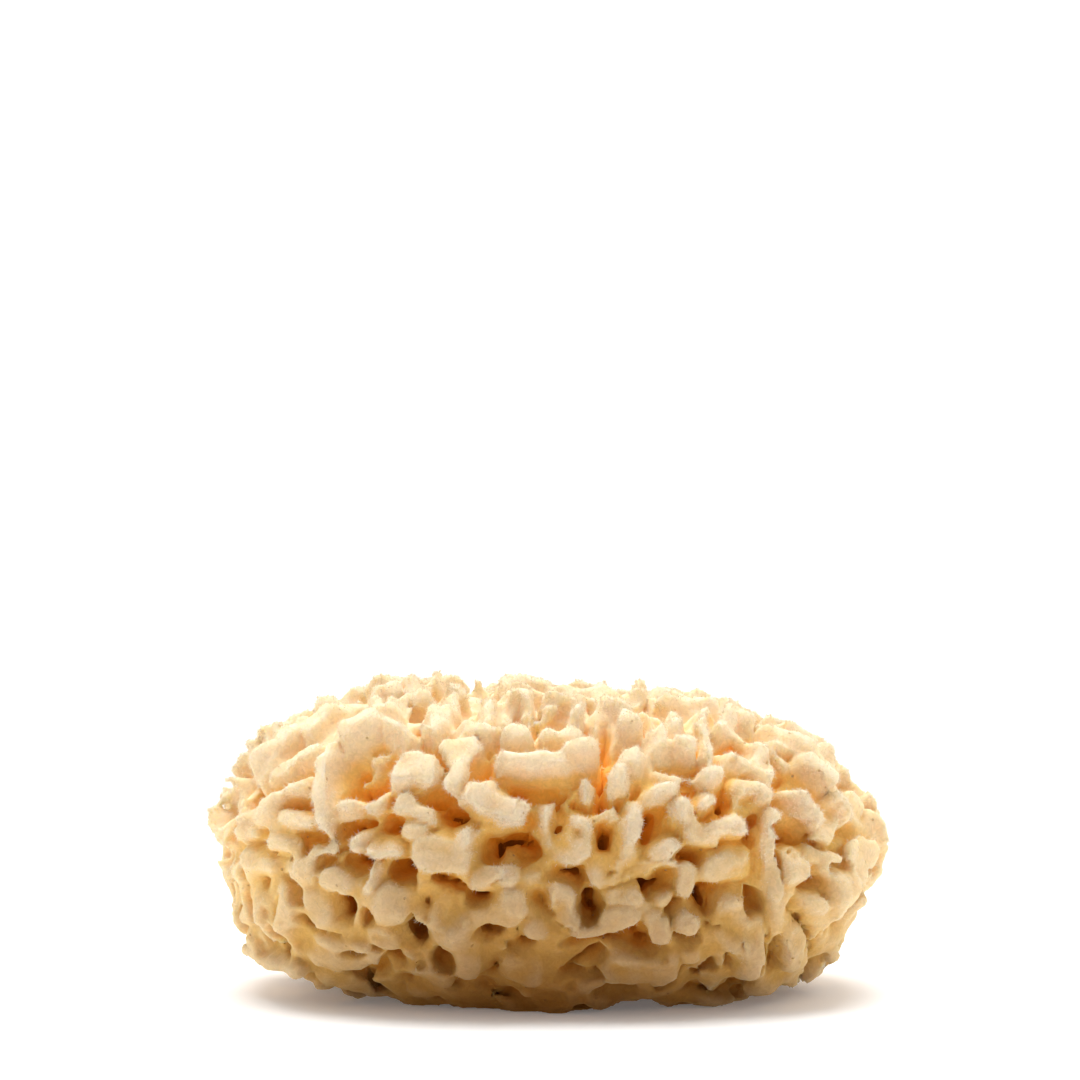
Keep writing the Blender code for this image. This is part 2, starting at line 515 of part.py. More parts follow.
def settle(mesh):
    """Flatten the cut and put its middle, below the middle of the whole, at the origin."""
    places = np.empty(3 * len(mesh.vertices))
    mesh.vertices.foreach_get("co", places)
    places = places.reshape(-1, 3)
    places[places[:, 2] < CUT_BAND, 2] = 0
    places[:, :2] -= (places[:, :2].min(0) + places[:, :2].max(0)) / 2
    mesh.vertices.foreach_set("co", places.ravel())
    mesh.update()


def main():
    for existing in list(bpy.data.objects):
        bpy.data.objects.remove(existing)
    block = Block(CELL)
    vertices, faces = one_piece(*skin_mesh(block, grow(block)))
    mesh = bpy.data.meshes.new("sponge")
    mesh.from_pydata(vertices.tolist(), [], faces.tolist())
    sponge = bpy.data.objects.new("sponge", mesh)
    bpy.context.scene.collection.objects.link(sponge)
    fewer = sponge.modifiers.new("fewer faces", "DECIMATE")
    fewer.ratio = TRIANGLES / len(faces)
    shown = sponge.evaluated_get(bpy.context.evaluated_depsgraph_get())
    sponge.data = bpy.data.meshes.new_from_object(shown)
    sponge.modifiers.remove(fewer)
    sponge.data.materials.append(sponge_material())
    settle(sponge.data)


main()
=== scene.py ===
"""A dried sea sponge on a white studio floor.

The sponge is one piece: a long loaf of lobes, pits and winding gaps, cream on its crests and
deeper orange-brown down in the gaps, partly its own colour and partly painted shade, browner and
darker toward its foot, partly a tan and partly painted shade, with a painted glow in its upper
gaps and a short fuzz of fibres on its tips. X runs along it, -Y is its front and +Z is up.
Lengths are in metres; the numbers in the lists of pits and lobes are in millimetres and degrees.
"""

import logging
import math
from dataclasses import dataclass
from enum import Enum
from functools import cached_property
from itertools import permutations, product
from typing import Iterable

import bpy
import numpy as np
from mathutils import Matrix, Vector


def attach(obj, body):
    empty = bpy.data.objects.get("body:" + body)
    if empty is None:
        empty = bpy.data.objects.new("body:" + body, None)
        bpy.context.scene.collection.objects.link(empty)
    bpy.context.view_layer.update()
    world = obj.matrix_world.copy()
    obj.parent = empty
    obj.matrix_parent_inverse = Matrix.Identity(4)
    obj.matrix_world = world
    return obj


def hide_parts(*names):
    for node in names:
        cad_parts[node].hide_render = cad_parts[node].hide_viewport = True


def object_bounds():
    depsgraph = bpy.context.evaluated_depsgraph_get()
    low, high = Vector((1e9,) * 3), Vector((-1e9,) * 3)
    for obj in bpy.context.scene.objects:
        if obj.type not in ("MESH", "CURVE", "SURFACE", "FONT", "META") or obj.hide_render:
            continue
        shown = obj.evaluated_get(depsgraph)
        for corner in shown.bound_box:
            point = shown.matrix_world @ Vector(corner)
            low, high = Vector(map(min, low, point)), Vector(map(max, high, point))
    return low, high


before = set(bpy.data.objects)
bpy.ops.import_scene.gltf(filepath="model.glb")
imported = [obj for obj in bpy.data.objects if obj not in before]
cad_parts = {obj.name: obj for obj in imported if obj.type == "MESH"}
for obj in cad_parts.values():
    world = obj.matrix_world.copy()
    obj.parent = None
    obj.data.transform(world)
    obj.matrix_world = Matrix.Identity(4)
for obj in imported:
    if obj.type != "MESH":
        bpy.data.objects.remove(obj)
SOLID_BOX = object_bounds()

log = logging.getLogger("sponge")

MM = 0.001

# Distance between the samples that the skin is drawn from, and a share of it that a corner of the
# skin keeps from them
FINE_CELL = 0.7 * MM
OFF_THE_ENDS = 0.02

Array = np.ndarray

# Front outline of the loaf in mm, across and up, from the left end over the top
OUTLINE = [
    (-70.3, 29), (-69.3, 38), (-67.5, 46), (-61.5, 52.5), (-52, 59), (-41, 63.5), (-30, 66),
    (-14, 64), (8, 63), (25, 61.5), (40, 60), (50, 55.5), (58.5, 50), (64, 42), (69.9, 34),
    (69.3, 25), (66, 17), (61, 9), (55, 2.5), (43, -2), (20, -3.5), (-20, -4), (-40, -2),
    (-55, 3), (-64, 10), (-68, 18),
]

# Pits on the front in mm: across, up, wide, tall, degrees of tilt, deep
PITS = [
    # Upper left end
    (-57, 48.8, 14, 3, 5, 5), (-53.5, 43.2, 8, 3.2, -18, 5), (-64.4, 34.4, 4.5, 3, 0, 4),
    (-58, 32, 6, 2, -30, 4), (-52.2, 33, 1.6, 3.2, 0, 5), (-48, 31, 3, 1.8, 15, 4),
    (-54.5, 60.5, 4, 5, 0, 2.5), (-48.6, 56.2, 1.8, 4, 20, 4), (-65.8, 48, 3, 6, 0, 2.5),
    # The large bay and the gaps below its fingers
    (-43, 50, 9.4, 11.5, 5, 10), (-37, 50.5, 8, 8, 30, 8), (-40, 46.5, 4, 5, 0, 9),
    (-34.5, 54.5, 4, 6, 0, 5), (-42.6, 37.6, 9.4, 5.4, 10, 9), (-48.8, 36.3, 5, 4.2, -40, 8),
    (-43.8, 34.3, 1.8, 3.6, 0, 6), (-35.5, 37.5, 6.5, 6.5, -20, 9), (-33.7, 43.5, 3, 3.6, 0, 7),
    (-41.5, 29.3, 8.5, 5.5, -15, 9), (-38.6, 28, 3, 4.5, 0, 10),
    # Middle left
    (-25.4, 44, 8.4, 8, -40, 11), (-22, 40.4, 7, 6.4, -30, 12), (-27.5, 47, 5, 2.6, 0, 7),
    (-17.8, 38.4, 3.6, 5, -40, 10), (-12.8, 33.5, 5, 7.5, 10, 15), (-5.5, 34, 12, 8.5, 10, 9),
    (-4.2, 39.5, 5, 9, 10, 10), (1.8, 40.5, 4, 10, 5, 11), (-2, 46.4, 18, 8, -8, 8),
    (-14, 51.5, 4, 9, -15, 8), (-13, 56.5, 3.5, 3, 30, 5), (5.5, 44.8, 6, 4, -15, 8),
    # Upper middle
    (-29.8, 61, 3.4, 8, 12, 5), (-27, 64.8, 2, 5, -25, 5), (-27, 57.6, 4, 4.5, 0, 5),
    (-23.5, 53.5, 1.6, 6, 35, 4), (-17.8, 65.5, 5, 9, 12, 7), (-20.5, 59.6, 7, 2.6, 5, 5),
    (-8.8, 63.8, 5, 8, 15, 7), (-3.7, 60, 3.6, 9, 5, 7), (0.6, 62.4, 6, 5.4, 0, 8),
    (10.8, 52, 4.6, 14, 5, 10), (10, 60, 4, 9, 0, 6), (13.3, 57, 1.6, 5, -25, 4),
    (14.4, 43.2, 4, 6.6, 0, 9), (-0.5, 56.3, 3, 1.6, 0, 4), (-35.5, 67, 3.6, 7, 0, 3),
    (-31.3, 69, 3, 4, 0, 3), (-22.8, 68.5, 3.2, 10, 0, 4), (-2.6, 67, 4, 9, 0, 4),
    (-33.5, 57.5, 3.6, 3, -30, 4),
    # Upper right
    (25.3, 52.6, 11, 5.4, 0, 5), (21, 60.5, 3.4, 10, 8, 5), (29.8, 60.3, 3, 11, 3, 6),
    (29.2, 46.2, 5.6, 5.4, 0, 7), (36.8, 46, 4.4, 9, -8, 9), (34, 40.8, 4, 2.6, 25, 6),
    (40, 57, 10, 5, -5, 5), (36.2, 53.5, 2, 3, 0, 4), (51, 49.6, 4.6, 8, -30, 7),
    (34.6, 64, 3.6, 5, 20, 4), (43, 45, 5, 3, 20, 3), (20.8, 66.4, 3.4, 8, 0, 4),
    (44.6, 61.6, 3.2, 8, 0, 4), (33, 51.5, 5, 2, 0, 3), (46.3, 52.7, 3, 5, -20, 3),
    # Gaps beside the forked lobes
    (21, 38, 4.8, 9.6, -18, 10), (12.2, 35.4, 4.8, 9, 8, 11), (17, 46.5, 2.2, 4, 0, 5),
    (29, 31.8, 8, 4.4, -22, 6), (43.3, 37.5, 3.6, 8.5, 0, 10), (52.3, 36.8, 9.5, 7.4, 0, 13),
    (50.2, 42, 4.6, 7, 10, 8), (56.5, 45.2, 4, 5.6, 35, 6), (60, 34.8, 8, 2.4, 0, 4),
    (61.5, 48.6, 2.4, 6, 30, 4), (62.3, 40.5, 5, 2, -15, 3),
    # Right end
    (48.3, 29.2, 2, 6.5, 10, 7), (55, 28, 4, 3, -40, 7), (56.3, 25, 7, 4.6, -20, 7),
    (53, 31.5, 6, 2, -25, 4), (42, 21.5, 7.6, 9, -20, 7), (52, 20.8, 4, 4.6, 0, 4),
    (62, 28.8, 6, 3.4, -10, 4), (45.3, 12, 1.8, 9, 0, 6), (54.7, 13.8, 2, 7, 0, 4),
    (60.8, 17, 2, 5, -25, 3), (58, 24, 3, 4, 0, 3), (48.3, 9.5, 2.6, 8, 0, 4),
    (64.5, 21, 2.4, 7, -15, 3), (56.2, 10, 2, 6, -10, 3),
    # Middle of the lower front
    (-31, 27.6, 7, 6.4, 0, 10), (-22, 26.4, 7.6, 2, -20, 7), (-14.6, 22.8, 7, 4.4, -8, 10),
    (-9.5, 27.5, 8.4, 1.3, 42, 4), (-27.8, 13.6, 4.6, 6.4, 0, 12), (-29.6, 17.6, 2, 2.4, 0, 4),
    (-22.2, 8.4, 5.6, 4.4, 10, 11), (-32.6, 8, 6.4, 4.8, -25, 7), (-13, 14.8, 7.4, 5, 8, 6),
    (-11.7, 8.4, 1.8, 6, -38, 10), (-5.8, 12.6, 5.4, 3, 12, 7), (-3, 22.6, 3.2, 4, 20, 6),
    (-0.8, 19.4, 5, 1.8, -40, 5), (3, 16.6, 6, 2, -25, 5), (8.2, 20.6, 4, 7, 0, 17),
    (4.4, 27, 9, 5, -8, 9), (9, 26, 5, 3.4, 0, 7), (12, 27.6, 6, 3, 0, 4),
    (23, 26.2, 5, 7, -25, 10), (21, 24.6, 3, 3.6, 0, 9), (25, 20.2, 6, 1.8, 15, 6),
    (14.6, 23.6, 4.6, 1.8, 8, 3),
    (32.6, 21.4, 6, 7.8, -10, 11), (9, 13.2, 13, 4, 3, 5), (17.8, 15, 4, 5.4, 15, 7),
    (19.2, 12, 6.6, 3.6, 0, 9), (28.7, 13.8, 5.6, 3, -10, 14), (8, 8.6, 9, 1.8, 28, 6),
    (9, 5.6, 11, 1.6, 0, 5), (24.2, 9.4, 3.4, 1.6, 0, 3), (34, 7.4, 3.6, 3.8, 0, 6),
    (34.4, 16.4, 5.4, 2, -8, 4), (27, 5.6, 7, 1.8, 25, 5), (38, 9, 3, 5, 30, 3),
    (40.2, 14, 1.4, 4, 0, 3), (-24.5, 18.6, 5, 1.4, 30, 4),
    # Lower left end
    (-44, 21, 4.6, 8.4, 25, 9), (-38.4, 18.6, 4, 4.4, 0, 6), (-42, 10.9, 6, 2.6, 8, 11),
    (-52.4, 17.2, 7, 3, -35, 6), (-53.6, 23.6, 4, 5, 10, 4), (-61.8, 24.5, 3.4, 6, 15, 4),
    (-60, 17.5, 2.4, 8, 25, 4), (-57.3, 13.6, 2.4, 5, 20, 4), (-66, 26, 1.8, 10, 8, 3),
    (-55.5, 10, 5.6, 2, -18, 4), (-49.8, 27.8, 1.8, 5, 0, 4), (-56.2, 27.2, 3.4, 1.6, -20, 4),
    (-36.5, 11.6, 3, 2, 0, 4), (-47, 15.3, 6, 1.2, 0, 4), (-58, 21, 1.6, 6, 0, 3),
    # The deep bay under the block-shaped lobe, and the hollow on its left
    (-8.4, 35.4, 10.6, 7, 5, 15), (-19.4, 39.4, 4.8, 6.4, -35, 13), (6.4, 36.5, 2.6, 4, 0, 8),
    # The open bay at the left, and the hollow right of the long shelf
    (-39.6, 49, 10, 9, 10, 12), (10.6, 49.4, 6.6, 12, 4, 11),
    # Canals that run far in
    (8.2, 20.4, 4.4, 7.6, 0, 24), (28.7, 13.8, 6, 3.6, -10, 22), (-27.8, 13.8, 4.8, 6.4, 0, 20),
    (-22.2, 8.4, 6, 4.6, 10, 18), (-12.6, 33.6, 5, 7, 10, 20),
]

# Lobes on the front in mm: across, up, wide, tall, degrees of tilt, rise above the loaf
LOBES = [
    # Fingers and knobs at the left
    (-48.2, 47, 4.4, 19, -4, 1.2), (-42.8, 43.4, 5, 4, 25, 1), (-37.6, 42.8, 4, 5.6, -15, 1.4),
    (-34.9, 32.4, 8, 3.8, -4, 2.6), (-41, 35, 3.6, 5.6, 0, 1.2), (-57, 45.2, 11, 3.4, 5, 0.4),
    (-57.8, 34.4, 5.4, 4, -25, 0.8), (-62, 30.6, 7.6, 5, -15, 1), (-37, 27.5, 2.6, 8, -12, 1.4),
    (-58, 56, 13, 6, 35, 0.6), (-49, 62, 10, 5, 25, 0.8), (-62.5, 41, 8, 5, 10, 0.6),
    (-54.5, 53, 11, 4, 10, 0.6), (-53.5, 39.5, 8, 3.6, -15, 0.6), (-41, 51.4, 5, 2.4, -10, -2),
    (-41, 60.5, 10, 5, 15, 0.8), (-64.5, 36.5, 4, 4, 0, 0.8), (-51.5, 28.5, 7, 4.4, -20, 0.6),
    (-45.5, 26.5, 7, 5, -25, 0.8), (-61.5, 20.5, 4, 8, 20, 0.6), (-56, 21, 5.5, 9, 12, 0.6),
    # Walls along the top of the front
    (-33.4, 60.4, 4.6, 8, 35, 0.8), (-36, 65.5, 6, 4, 10, 0.8), (-24.6, 63, 4, 9, 10, 1),
    (-21.4, 65.4, 4, 11, -8, 1), (-13.4, 64.4, 3.6, 9, 0, 1.2), (-7, 58, 8, 3.6, -5, 0.8),
    (-6.4, 66.6, 7, 4, -10, 0.8), (-26, 59.6, 7, 2.6, 12, 0.6), (5, 61.6, 3.6, 8, -12, 1.4),
    (1.6, 66, 9, 3, 5, 0.8), (13.8, 64.4, 9, 4, -28, 1), (16.4, 60.8, 5.6, 4.6, 0, 1),
    (25.6, 61.4, 4.6, 9, 6, 1.2), (22.6, 57, 6, 4.6, 20, 0.8), (31.6, 62, 3.6, 9, 0, 1),
    (28.6, 55.6, 6, 2.8, 0, 0.8), (36.4, 61.4, 4, 8, -15, 1), (41, 62, 6, 5, -20, 0.8),
    (33, 57, 3.6, 9, 5, 0.6), (45.4, 52.6, 6, 7, -10, 1), (39.6, 53.4, 7, 2.8, -10, 0.8),
    (50.4, 57.4, 10, 4, -25, 0.8), (34.2, 49.6, 7, 4, 10, 1),
    # Mound, rough lobe and heart-shaped lobe
    (-29, 51, 11, 8, -5, 1.4), (-28.4, 42.2, 12, 5.6, -28, 1.8), (-28.5, 36.8, 6.4, 5, 0, 1.6),
    (-18.6, 36, 5, 7, 8, 2.4), (-23, 32.4, 14, 9, -12, 2.2), (-12.2, 28, 10, 5, 8, 0.6),
    # Block, forked lobe and long shelf
    (-12, 43.4, 14.5, 7.6, -28, 2.8), (-19.6, 55, 9, 7, 15, 1), (-20.6, 49, 4.6, 8, -8, 0.8),
    (-14, 60, 10, 3.4, 12, 0.6), (-4.5, 52.4, 15, 3.6, -4, 2.2), (6, 54.6, 9, 3.6, 12, 2.4),
    (2.6, 58.8, 10, 3.6, 4, 1), (-1, 38.6, 4.2, 9, 8, -0.6), (7.8, 48, 3.6, 3.8, 0, 0.6),
    # Forked lobes
    (7, 36.4, 4.8, 9, -5, 1.6), (5.4, 31.6, 7, 4, 20, 1.8), (12, 41, 6, 5, 0, -0.5),
    (16.8, 35, 5, 15, 4, 1.2), (23.6, 32.5, 5.4, 7, -35, 1), (13.6, 48.4, 6, 4.4, 20, 1.8),
    (16.6, 53, 5.2, 5, 0, 1), (23.6, 46, 6.2, 3.6, 5, 2), (28.2, 40.6, 5, 7.6, 25, 1.8),
    (36.4, 38.4, 12, 6, 12, 2.4), (32.4, 43, 3.6, 5, -25, 1.4),
    # Right end
    (46.4, 38.2, 3.6, 8, -8, 2), (46.6, 28.6, 4.4, 15, 3, 1.6), (53.8, 42.4, 8.4, 3.6, -48, 1.8),
    (56.4, 49.6, 7, 4, -38, 1.6), (52, 28.6, 6, 6, 0, 2), (47, 19.6, 3.8, 9, 0, 0.8),
    (54.6, 21.5, 6, 4, -25, 0.8), (60.6, 43.2, 5.6, 3.2, -25, 0.8), (60.5, 22, 3.6, 8, -10, 0.6),
    (44, 47, 7.6, 4, -12, 0.8),
    # Ring round the dark hole and the lowest rows
    (2.2, 22, 6.4, 7, -20, 1.2), (7.5, 16, 9, 3.6, 0, 1.2), (14, 19, 8, 6, 15, 1.4),
    (22.5, 16.5, 6.4, 8, 10, 1.4), (28.5, 17.6, 7, 5, -25, 1.8), (14.6, 8.6, 8, 5.4, 0, 1.4),
    (23.4, 6.8, 8.6, 5.6, 12, 1.4), (29.4, 10, 5, 4, 0, 1.2), (42, 12, 5.4, 13, 4, 1.4),
    (51.5, 11.6, 4.6, 10, 0, 0.6), (-7, 7, 10, 6, 0, 1), (-17, 9.6, 6, 9, 0, 0.8),
    (-23.4, 19, 5, 7.6, -10, 0.8), (-8.5, 20.5, 6.4, 9, -15, 0.8), (-44.5, 12.6, 12, 3, 5, 0.6),
    # Skin that runs on between the forked lobes, round the dark hole and below them
    (12.5, 27.2, 10, 4.6, 0, 1), (20, 29.3, 13, 4.4, 0, 1), (27.8, 26, 5.4, 9, 10, 1),
    (31.5, 37, 9, 6, -15, 1.8), (37.5, 29.2, 11, 8, 0, 0.8), (14.5, 23.4, 8, 5, 0, 1),
    (3.2, 18.8, 7, 5, -30, 1.2), (23.6, 22.2, 4, 3.4, 0, 1.2), (39, 17, 7.4, 12, 8, 0.9),
    (19, 7.4, 13, 5, 0, 1.2), (-33.5, 21.5, 8, 9, -15, 0.8), (-19.5, 14.5, 6, 8, 0, 0.8),
    (-35.5, 14.6, 7, 5, -10, 0.8), (-3.5, 15.8, 6, 5, 10, 0.8), (-49.5, 20.8, 5, 8, 15, 0.6),
]


class Tone(Enum):
    """Colours of the sponge and the studio, as linear red, green and blue."""

    # From the crests down into the gaps: the darker tones are partly the sponge's own colour and
    # partly painted shade
    CREST = (0.92, 0.785, 0.585)
    CREAM = (0.92, 0.71, 0.43)
    OCHRE = (0.94, 0.59, 0.18)
    ORANGE = (0.92, 0.44, 0.07)
    BROWN = (0.80, 0.26, 0.015)
    CANAL = (0.42, 0.10, 0.005)
    # The darker dot in each pinhole: painted shade inside the tiny holes
    PORE = (0.66, 0.44, 0.22)
    # Multiplied in toward the foot: a brown tan that is partly painted shade
    UNDERSIDE = (0.28, 0.17, 0.07)
    PAPER = (0.96, 0.96, 0.96)
    LIGHT = (1.0, 1.0, 1.0)

    @property
    def rgba(self) -> tuple[float, float, float, float]:
        """The colour with full opacity."""
        return (*self.value, 1.0)


class Seed(Enum):
    """Numbers that the noises start from, with one for each direction of the wander."""

    WANDER = (0, 100, 200)
    LUMPS = 50
    KNURLS = 60
    GRAIN = 80
    WALLS = 90


def unit(vector: Array) -> Array:
    """A vector of length 1 in the same direction.

    Args:
        vector: Any vector that is longer than 0.

    Returns:
        The vector over its own length.
    """
    return vector / np.linalg.norm(vector)


@dataclass(frozen=True)
class Form:
    """One pit or lobe, standing on the loaf's skin.

    Args:
        place: Where its middle meets the skin.
        first: Half of its width, along the skin.
        second: Half of its height, along the skin.
        outward: The skin's outward direction there.
        reach: A pit's depth, or a lobe's rise above the skin.
    """

    place: Array
    first: Array
    second: Array
    outward: Array
    reach: float


@dataclass(frozen=True)
class Loaf:
    """The even shape that the sponge's skin follows from afar."""

    length: float = 140 * MM
    depth: float = 98 * MM
    axis_height: float = 33 * MM
    power: float = 2.3
    ring_steps: int = 180
    smoothed_over: int = 2

    @cached_property
    def ring(self) -> tuple[Array, Array]:
        """Angles about the long axis and the front outline's distance from it there.

        Returns:
            The angles in radians, and the distance at each.
        """
        across, up = np.array(OUTLINE).T * MM
        rise = up - self.axis_height
        around = np.arctan2(rise, across)
        order = np.argsort(around)
        turn = np.linspace(-np.pi, np.pi, self.ring_steps + 1)
        reach = np.interp(turn, around[order], np.hypot(across, rise)[order], period=2 * np.pi)
        shifts = range(-self.smoothed_over, self.smoothed_over + 1)
        smooth = sum(np.roll(reach[:-1], shift) for shift in shifts) / len(shifts)
        return turn[:-1], smooth

    def value(self, points: Array) -> Array:
        """1 on the loaf's surface, less inside it.

        Args:
            points: Places, as rows of x, y and z.

        Returns:
            One value per place.
        """
        x, y, z = points
        z = z - self.axis_height
        turn, reach = self.ring
        radius = np.hypot(x, z) / np.interp(np.arctan2(z, x), turn, reach, period=2 * np.pi)
        side = np.abs(2 * y / self.depth)
        return (radius**self.power + side**self.power) ** (1 / self.power)

    def outward(self, point: Array) -> Array:
        """The outward direction at a place on the skin.

        Args:
            point: The place.

        Returns:
            A vector of length 1.
        """
        step = 0.5 * MM
        slope = [self.value(point + step * e) - self.value(point - step * e) for e in np.eye(3)]
        return unit(np.array(slope))


@dataclass(frozen=True)
class Eye:
    """The place that the front is described from, and that the picture is taken from."""

    distance: float = 800 * MM
    rise_degrees: float = 6.0
    seen_centre: tuple[float, float] = (0.0, 39.0)
    body_middle: float = 35 * MM
    least_facing: float = 0.55
    looked_at: tuple[float, float, int] = (0.85, 1.1, 400)

    @property
    def toward(self) -> Array:
        """Direction from the body to the eye."""
        rise = math.radians(self.rise_degrees)
        return np.array([0, -math.cos(rise), math.sin(rise)])

    @property
    def up(self) -> Array:
        """Direction that looks upright from the eye."""
        rise = math.radians(self.rise_degrees)
        return np.array([0, math.sin(rise), math.cos(rise)])

    @property
    def middle(self) -> Array:
        """The place that the seen centre lies on."""
        return np.array([0, 0, self.body_middle])

    @property
    def place(self) -> Array:
        """Where the eye is."""
        return self.middle + self.distance * self.toward

    def front_point(self, loaf: Loaf, across: float, up: float) -> Array:
        """Where a place seen on the front meets the loaf, or passes nearest to it.

        Args:
            loaf: The loaf that is looked at.
            across: Millimetres to the right of the middle, as seen.
            up: Millimetres above the foot of the front, as seen.

        Returns:
            The place, in metres.
        """
        aside = across - self.seen_centre[0]
        rise = up - self.seen_centre[1]
        seen = self.middle + MM * (aside * np.eye(3)[0] + rise * self.up)
        line = self.place[:, None] + (seen - self.place)[:, None] * np.linspace(*self.looked_at)
        values = loaf.value(line)
        within = np.flatnonzero(values < 1)
        index = within[0] if len(within) else values.argmin()
        return line[:, index]

    def form(self, loaf: Loaf, listed: tuple[float, ...], deeper: float = 1.0) -> Form:
        """A pit or lobe from its line in the lists.

        Args:
            loaf: The loaf that it stands on.
            listed: Across, up, wide, tall, tilt and depth or rise.
            deeper: How many times the listed depth it has.

        Returns:
            The form, in metres.
        """
        across, up, wide, tall, tilt, reach = listed
        point = self.front_point(loaf, across, up)
        outward = loaf.outward(point)
        right = unit(np.eye(3)[0] - outward[0] * outward)
        rising = np.cross(outward, right)
        right = right / max(right[0], self.least_facing)
        rising = rising / max(rising @ self.up, self.least_facing)
        turn = math.radians(tilt)
        first = (math.cos(turn) * right + math.sin(turn) * rising) * wide * MM / 2
        second = (math.cos(turn) * rising - math.sin(turn) * right) * tall * MM / 2
        return Form(point, first, second, outward, deeper * reach * MM)


class Block:
    """The block of space that the sponge grows in, sampled on an even grid."""

    SIDE_ROOM = 6 * MM
    FLOOR_ROOM = 3.125 * MM
    SPAN = (152.5 * MM, 110 * MM, 80 * MM)

    def __init__(self, loaf: Loaf, cell: float) -> None:
        """Lays out the grid about a loaf.

        Args:
            loaf: The loaf that the block holds.
            cell: Distance between the samples.
        """
        self.cell = cell
        self.low = np.array([
            -loaf.length / 2 - self.SIDE_ROOM, -loaf.depth / 2 - self.SIDE_ROOM, -self.FLOOR_ROOM,
        ])
        self.count = np.ceil(np.array(self.SPAN) / cell - 1e-6).astype(int) + 1
        self.axes = [self.low[k] + cell * np.arange(self.count[k]) for k in range(3)]
        self.points = np.stack(np.meshgrid(*self.axes, indexing="ij"))

    def noise(self, wavelength: float, seed: int) -> Array:
        """Smooth noise of about -1 to 1, from random values a wavelength apart.

        Args:
            wavelength: Distance between the random values.
            seed: Number that the random values start from.

        Returns:
            One value per grid point.
        """
        rng = np.random.default_rng(seed)
        weights = []
        for axis, span in zip(self.axes, self.SPAN):
            place = np.minimum(axis - axis[0], span) / wavelength
            knots = np.arange(int(span / wavelength) + 4)
            away = np.abs(place[:, None] + 1 - knots)
            near = 2 / 3 - away**2 + away**3 / 2
            far = (2 - away) ** 3 / 6
            weights.append(np.where(away < 1, near, np.where(away < 2, far, 0)))
        values = rng.uniform(-1, 1, [w.shape[1] for w in weights])
        return 2 * np.einsum("ia,jb,kc,abc->ijk", *weights, values, optimize=True)

    def noises(self, waves: Iterable[tuple[float, float]], seed: int) -> Array:
        """Noises of several wavelengths, added up.

        Args:
            waves: The wavelength and size of each.
            seed: The first one's seed; each of the others has the next.

        Returns:
            One value per grid point.
        """
        return sum(size * self.noise(wave, seed + n) for n, (wave, size) in enumerate(waves))

    def window(self, centre: Array, reach: float) -> tuple[slice, ...]:
        """The part of the grid within a reach of a place.

        Args:
            centre: The place.
            reach: How far the part goes on each side of it.

        Returns:
            One slice per axis.
        """
        first = np.floor((centre - reach - self.low) / self.cell).astype(int)
        last = np.ceil((centre + reach - self.low) / self.cell).astype(int) + 1
        return tuple(slice(max(a, 0), max(b, 0)) for a, b in zip(first, last))

    def at(self, array: Array, point: Array) -> Array:
        """The value of an array at the grid point next to a place.

        Args:
            array: Values whose last three axes are the grid's.
            point: The place.

        Returns:
            The value, or the values where the array has more axes.
        """
        index = np.rint((point - self.low) / self.cell).astype(int)
        index = np.clip(index, 0, self.count - 1)
        return array[(..., *index)]

    def sample(self, array: Array, points: Array) -> Array:
        """An array's values at many places, blended between the grid points.

        Args:
            array: One value per grid point.
            points: Places, one per row.

        Returns:
            One value per place.
        """
        place = (points - self.low) / self.cell
        first = np.clip(np.floor(place).astype(int), 0, self.count - 2)
        share = np.clip(place - first, 0, 1)
        total = np.zeros(len(points))
        for corner in product((0, 1), repeat=3):
            weight = np.prod(np.where(corner, share, 1 - share), axis=1)
            total += weight * array[tuple((first + corner).T)]
        return total

    def blurred(self, array: Array, reach: float) -> Array:
        """An array with each value spread evenly over a cube about it, twice.

        Args:
            array: One value per grid point.
            reach: Half of the cube's side.

        Returns:
            One value per grid point.
        """
        half = max(int(round(reach / self.cell)), 1)
        for _ in range(2):
            for axis in range(3):
                pad = [(half + 1, half) if k == axis else (0, 0) for k in range(3)]
                running = np.cumsum(np.pad(array, pad, mode="edge"), axis=axis)
                size = array.shape[axis]
                ahead = np.take(running, range(2 * half + 1, 2 * half + 1 + size), axis=axis)
                behind = np.take(running, range(size), axis=axis)
                array = (ahead - behind) / (2 * half + 1)
        return array


def side_distance(offset: Array, form: Form, corners: float) -> tuple[Array, Array]:
    """How far places lie outside the side of an upright form, and how far down.

    Args:
        offset: Places, from the form's own place.
        form: The form.
        corners: 2 for a round form, more for one with corners.

    Returns:
        The distance outside its side, and the depth under its place.
    """
    inverse = np.linalg.inv(np.stack([form.first, form.second, form.outward], 1))
    first, second, height = np.tensordot(inverse, offset, 1)
    away = (np.abs(first) ** corners + np.abs(second) ** corners) ** (1 / corners) + 1e-6
    tilts = [np.sign(part) * (np.abs(part) / away) ** (corners - 1) for part in (first, second)]
    slope = tilts[0] * inverse[0][:, None, None, None] + tilts[1] * inverse[1][:, None, None, None]
    return (away - 1) / (np.sqrt((slope**2).sum(0)) + 1e-6), -height


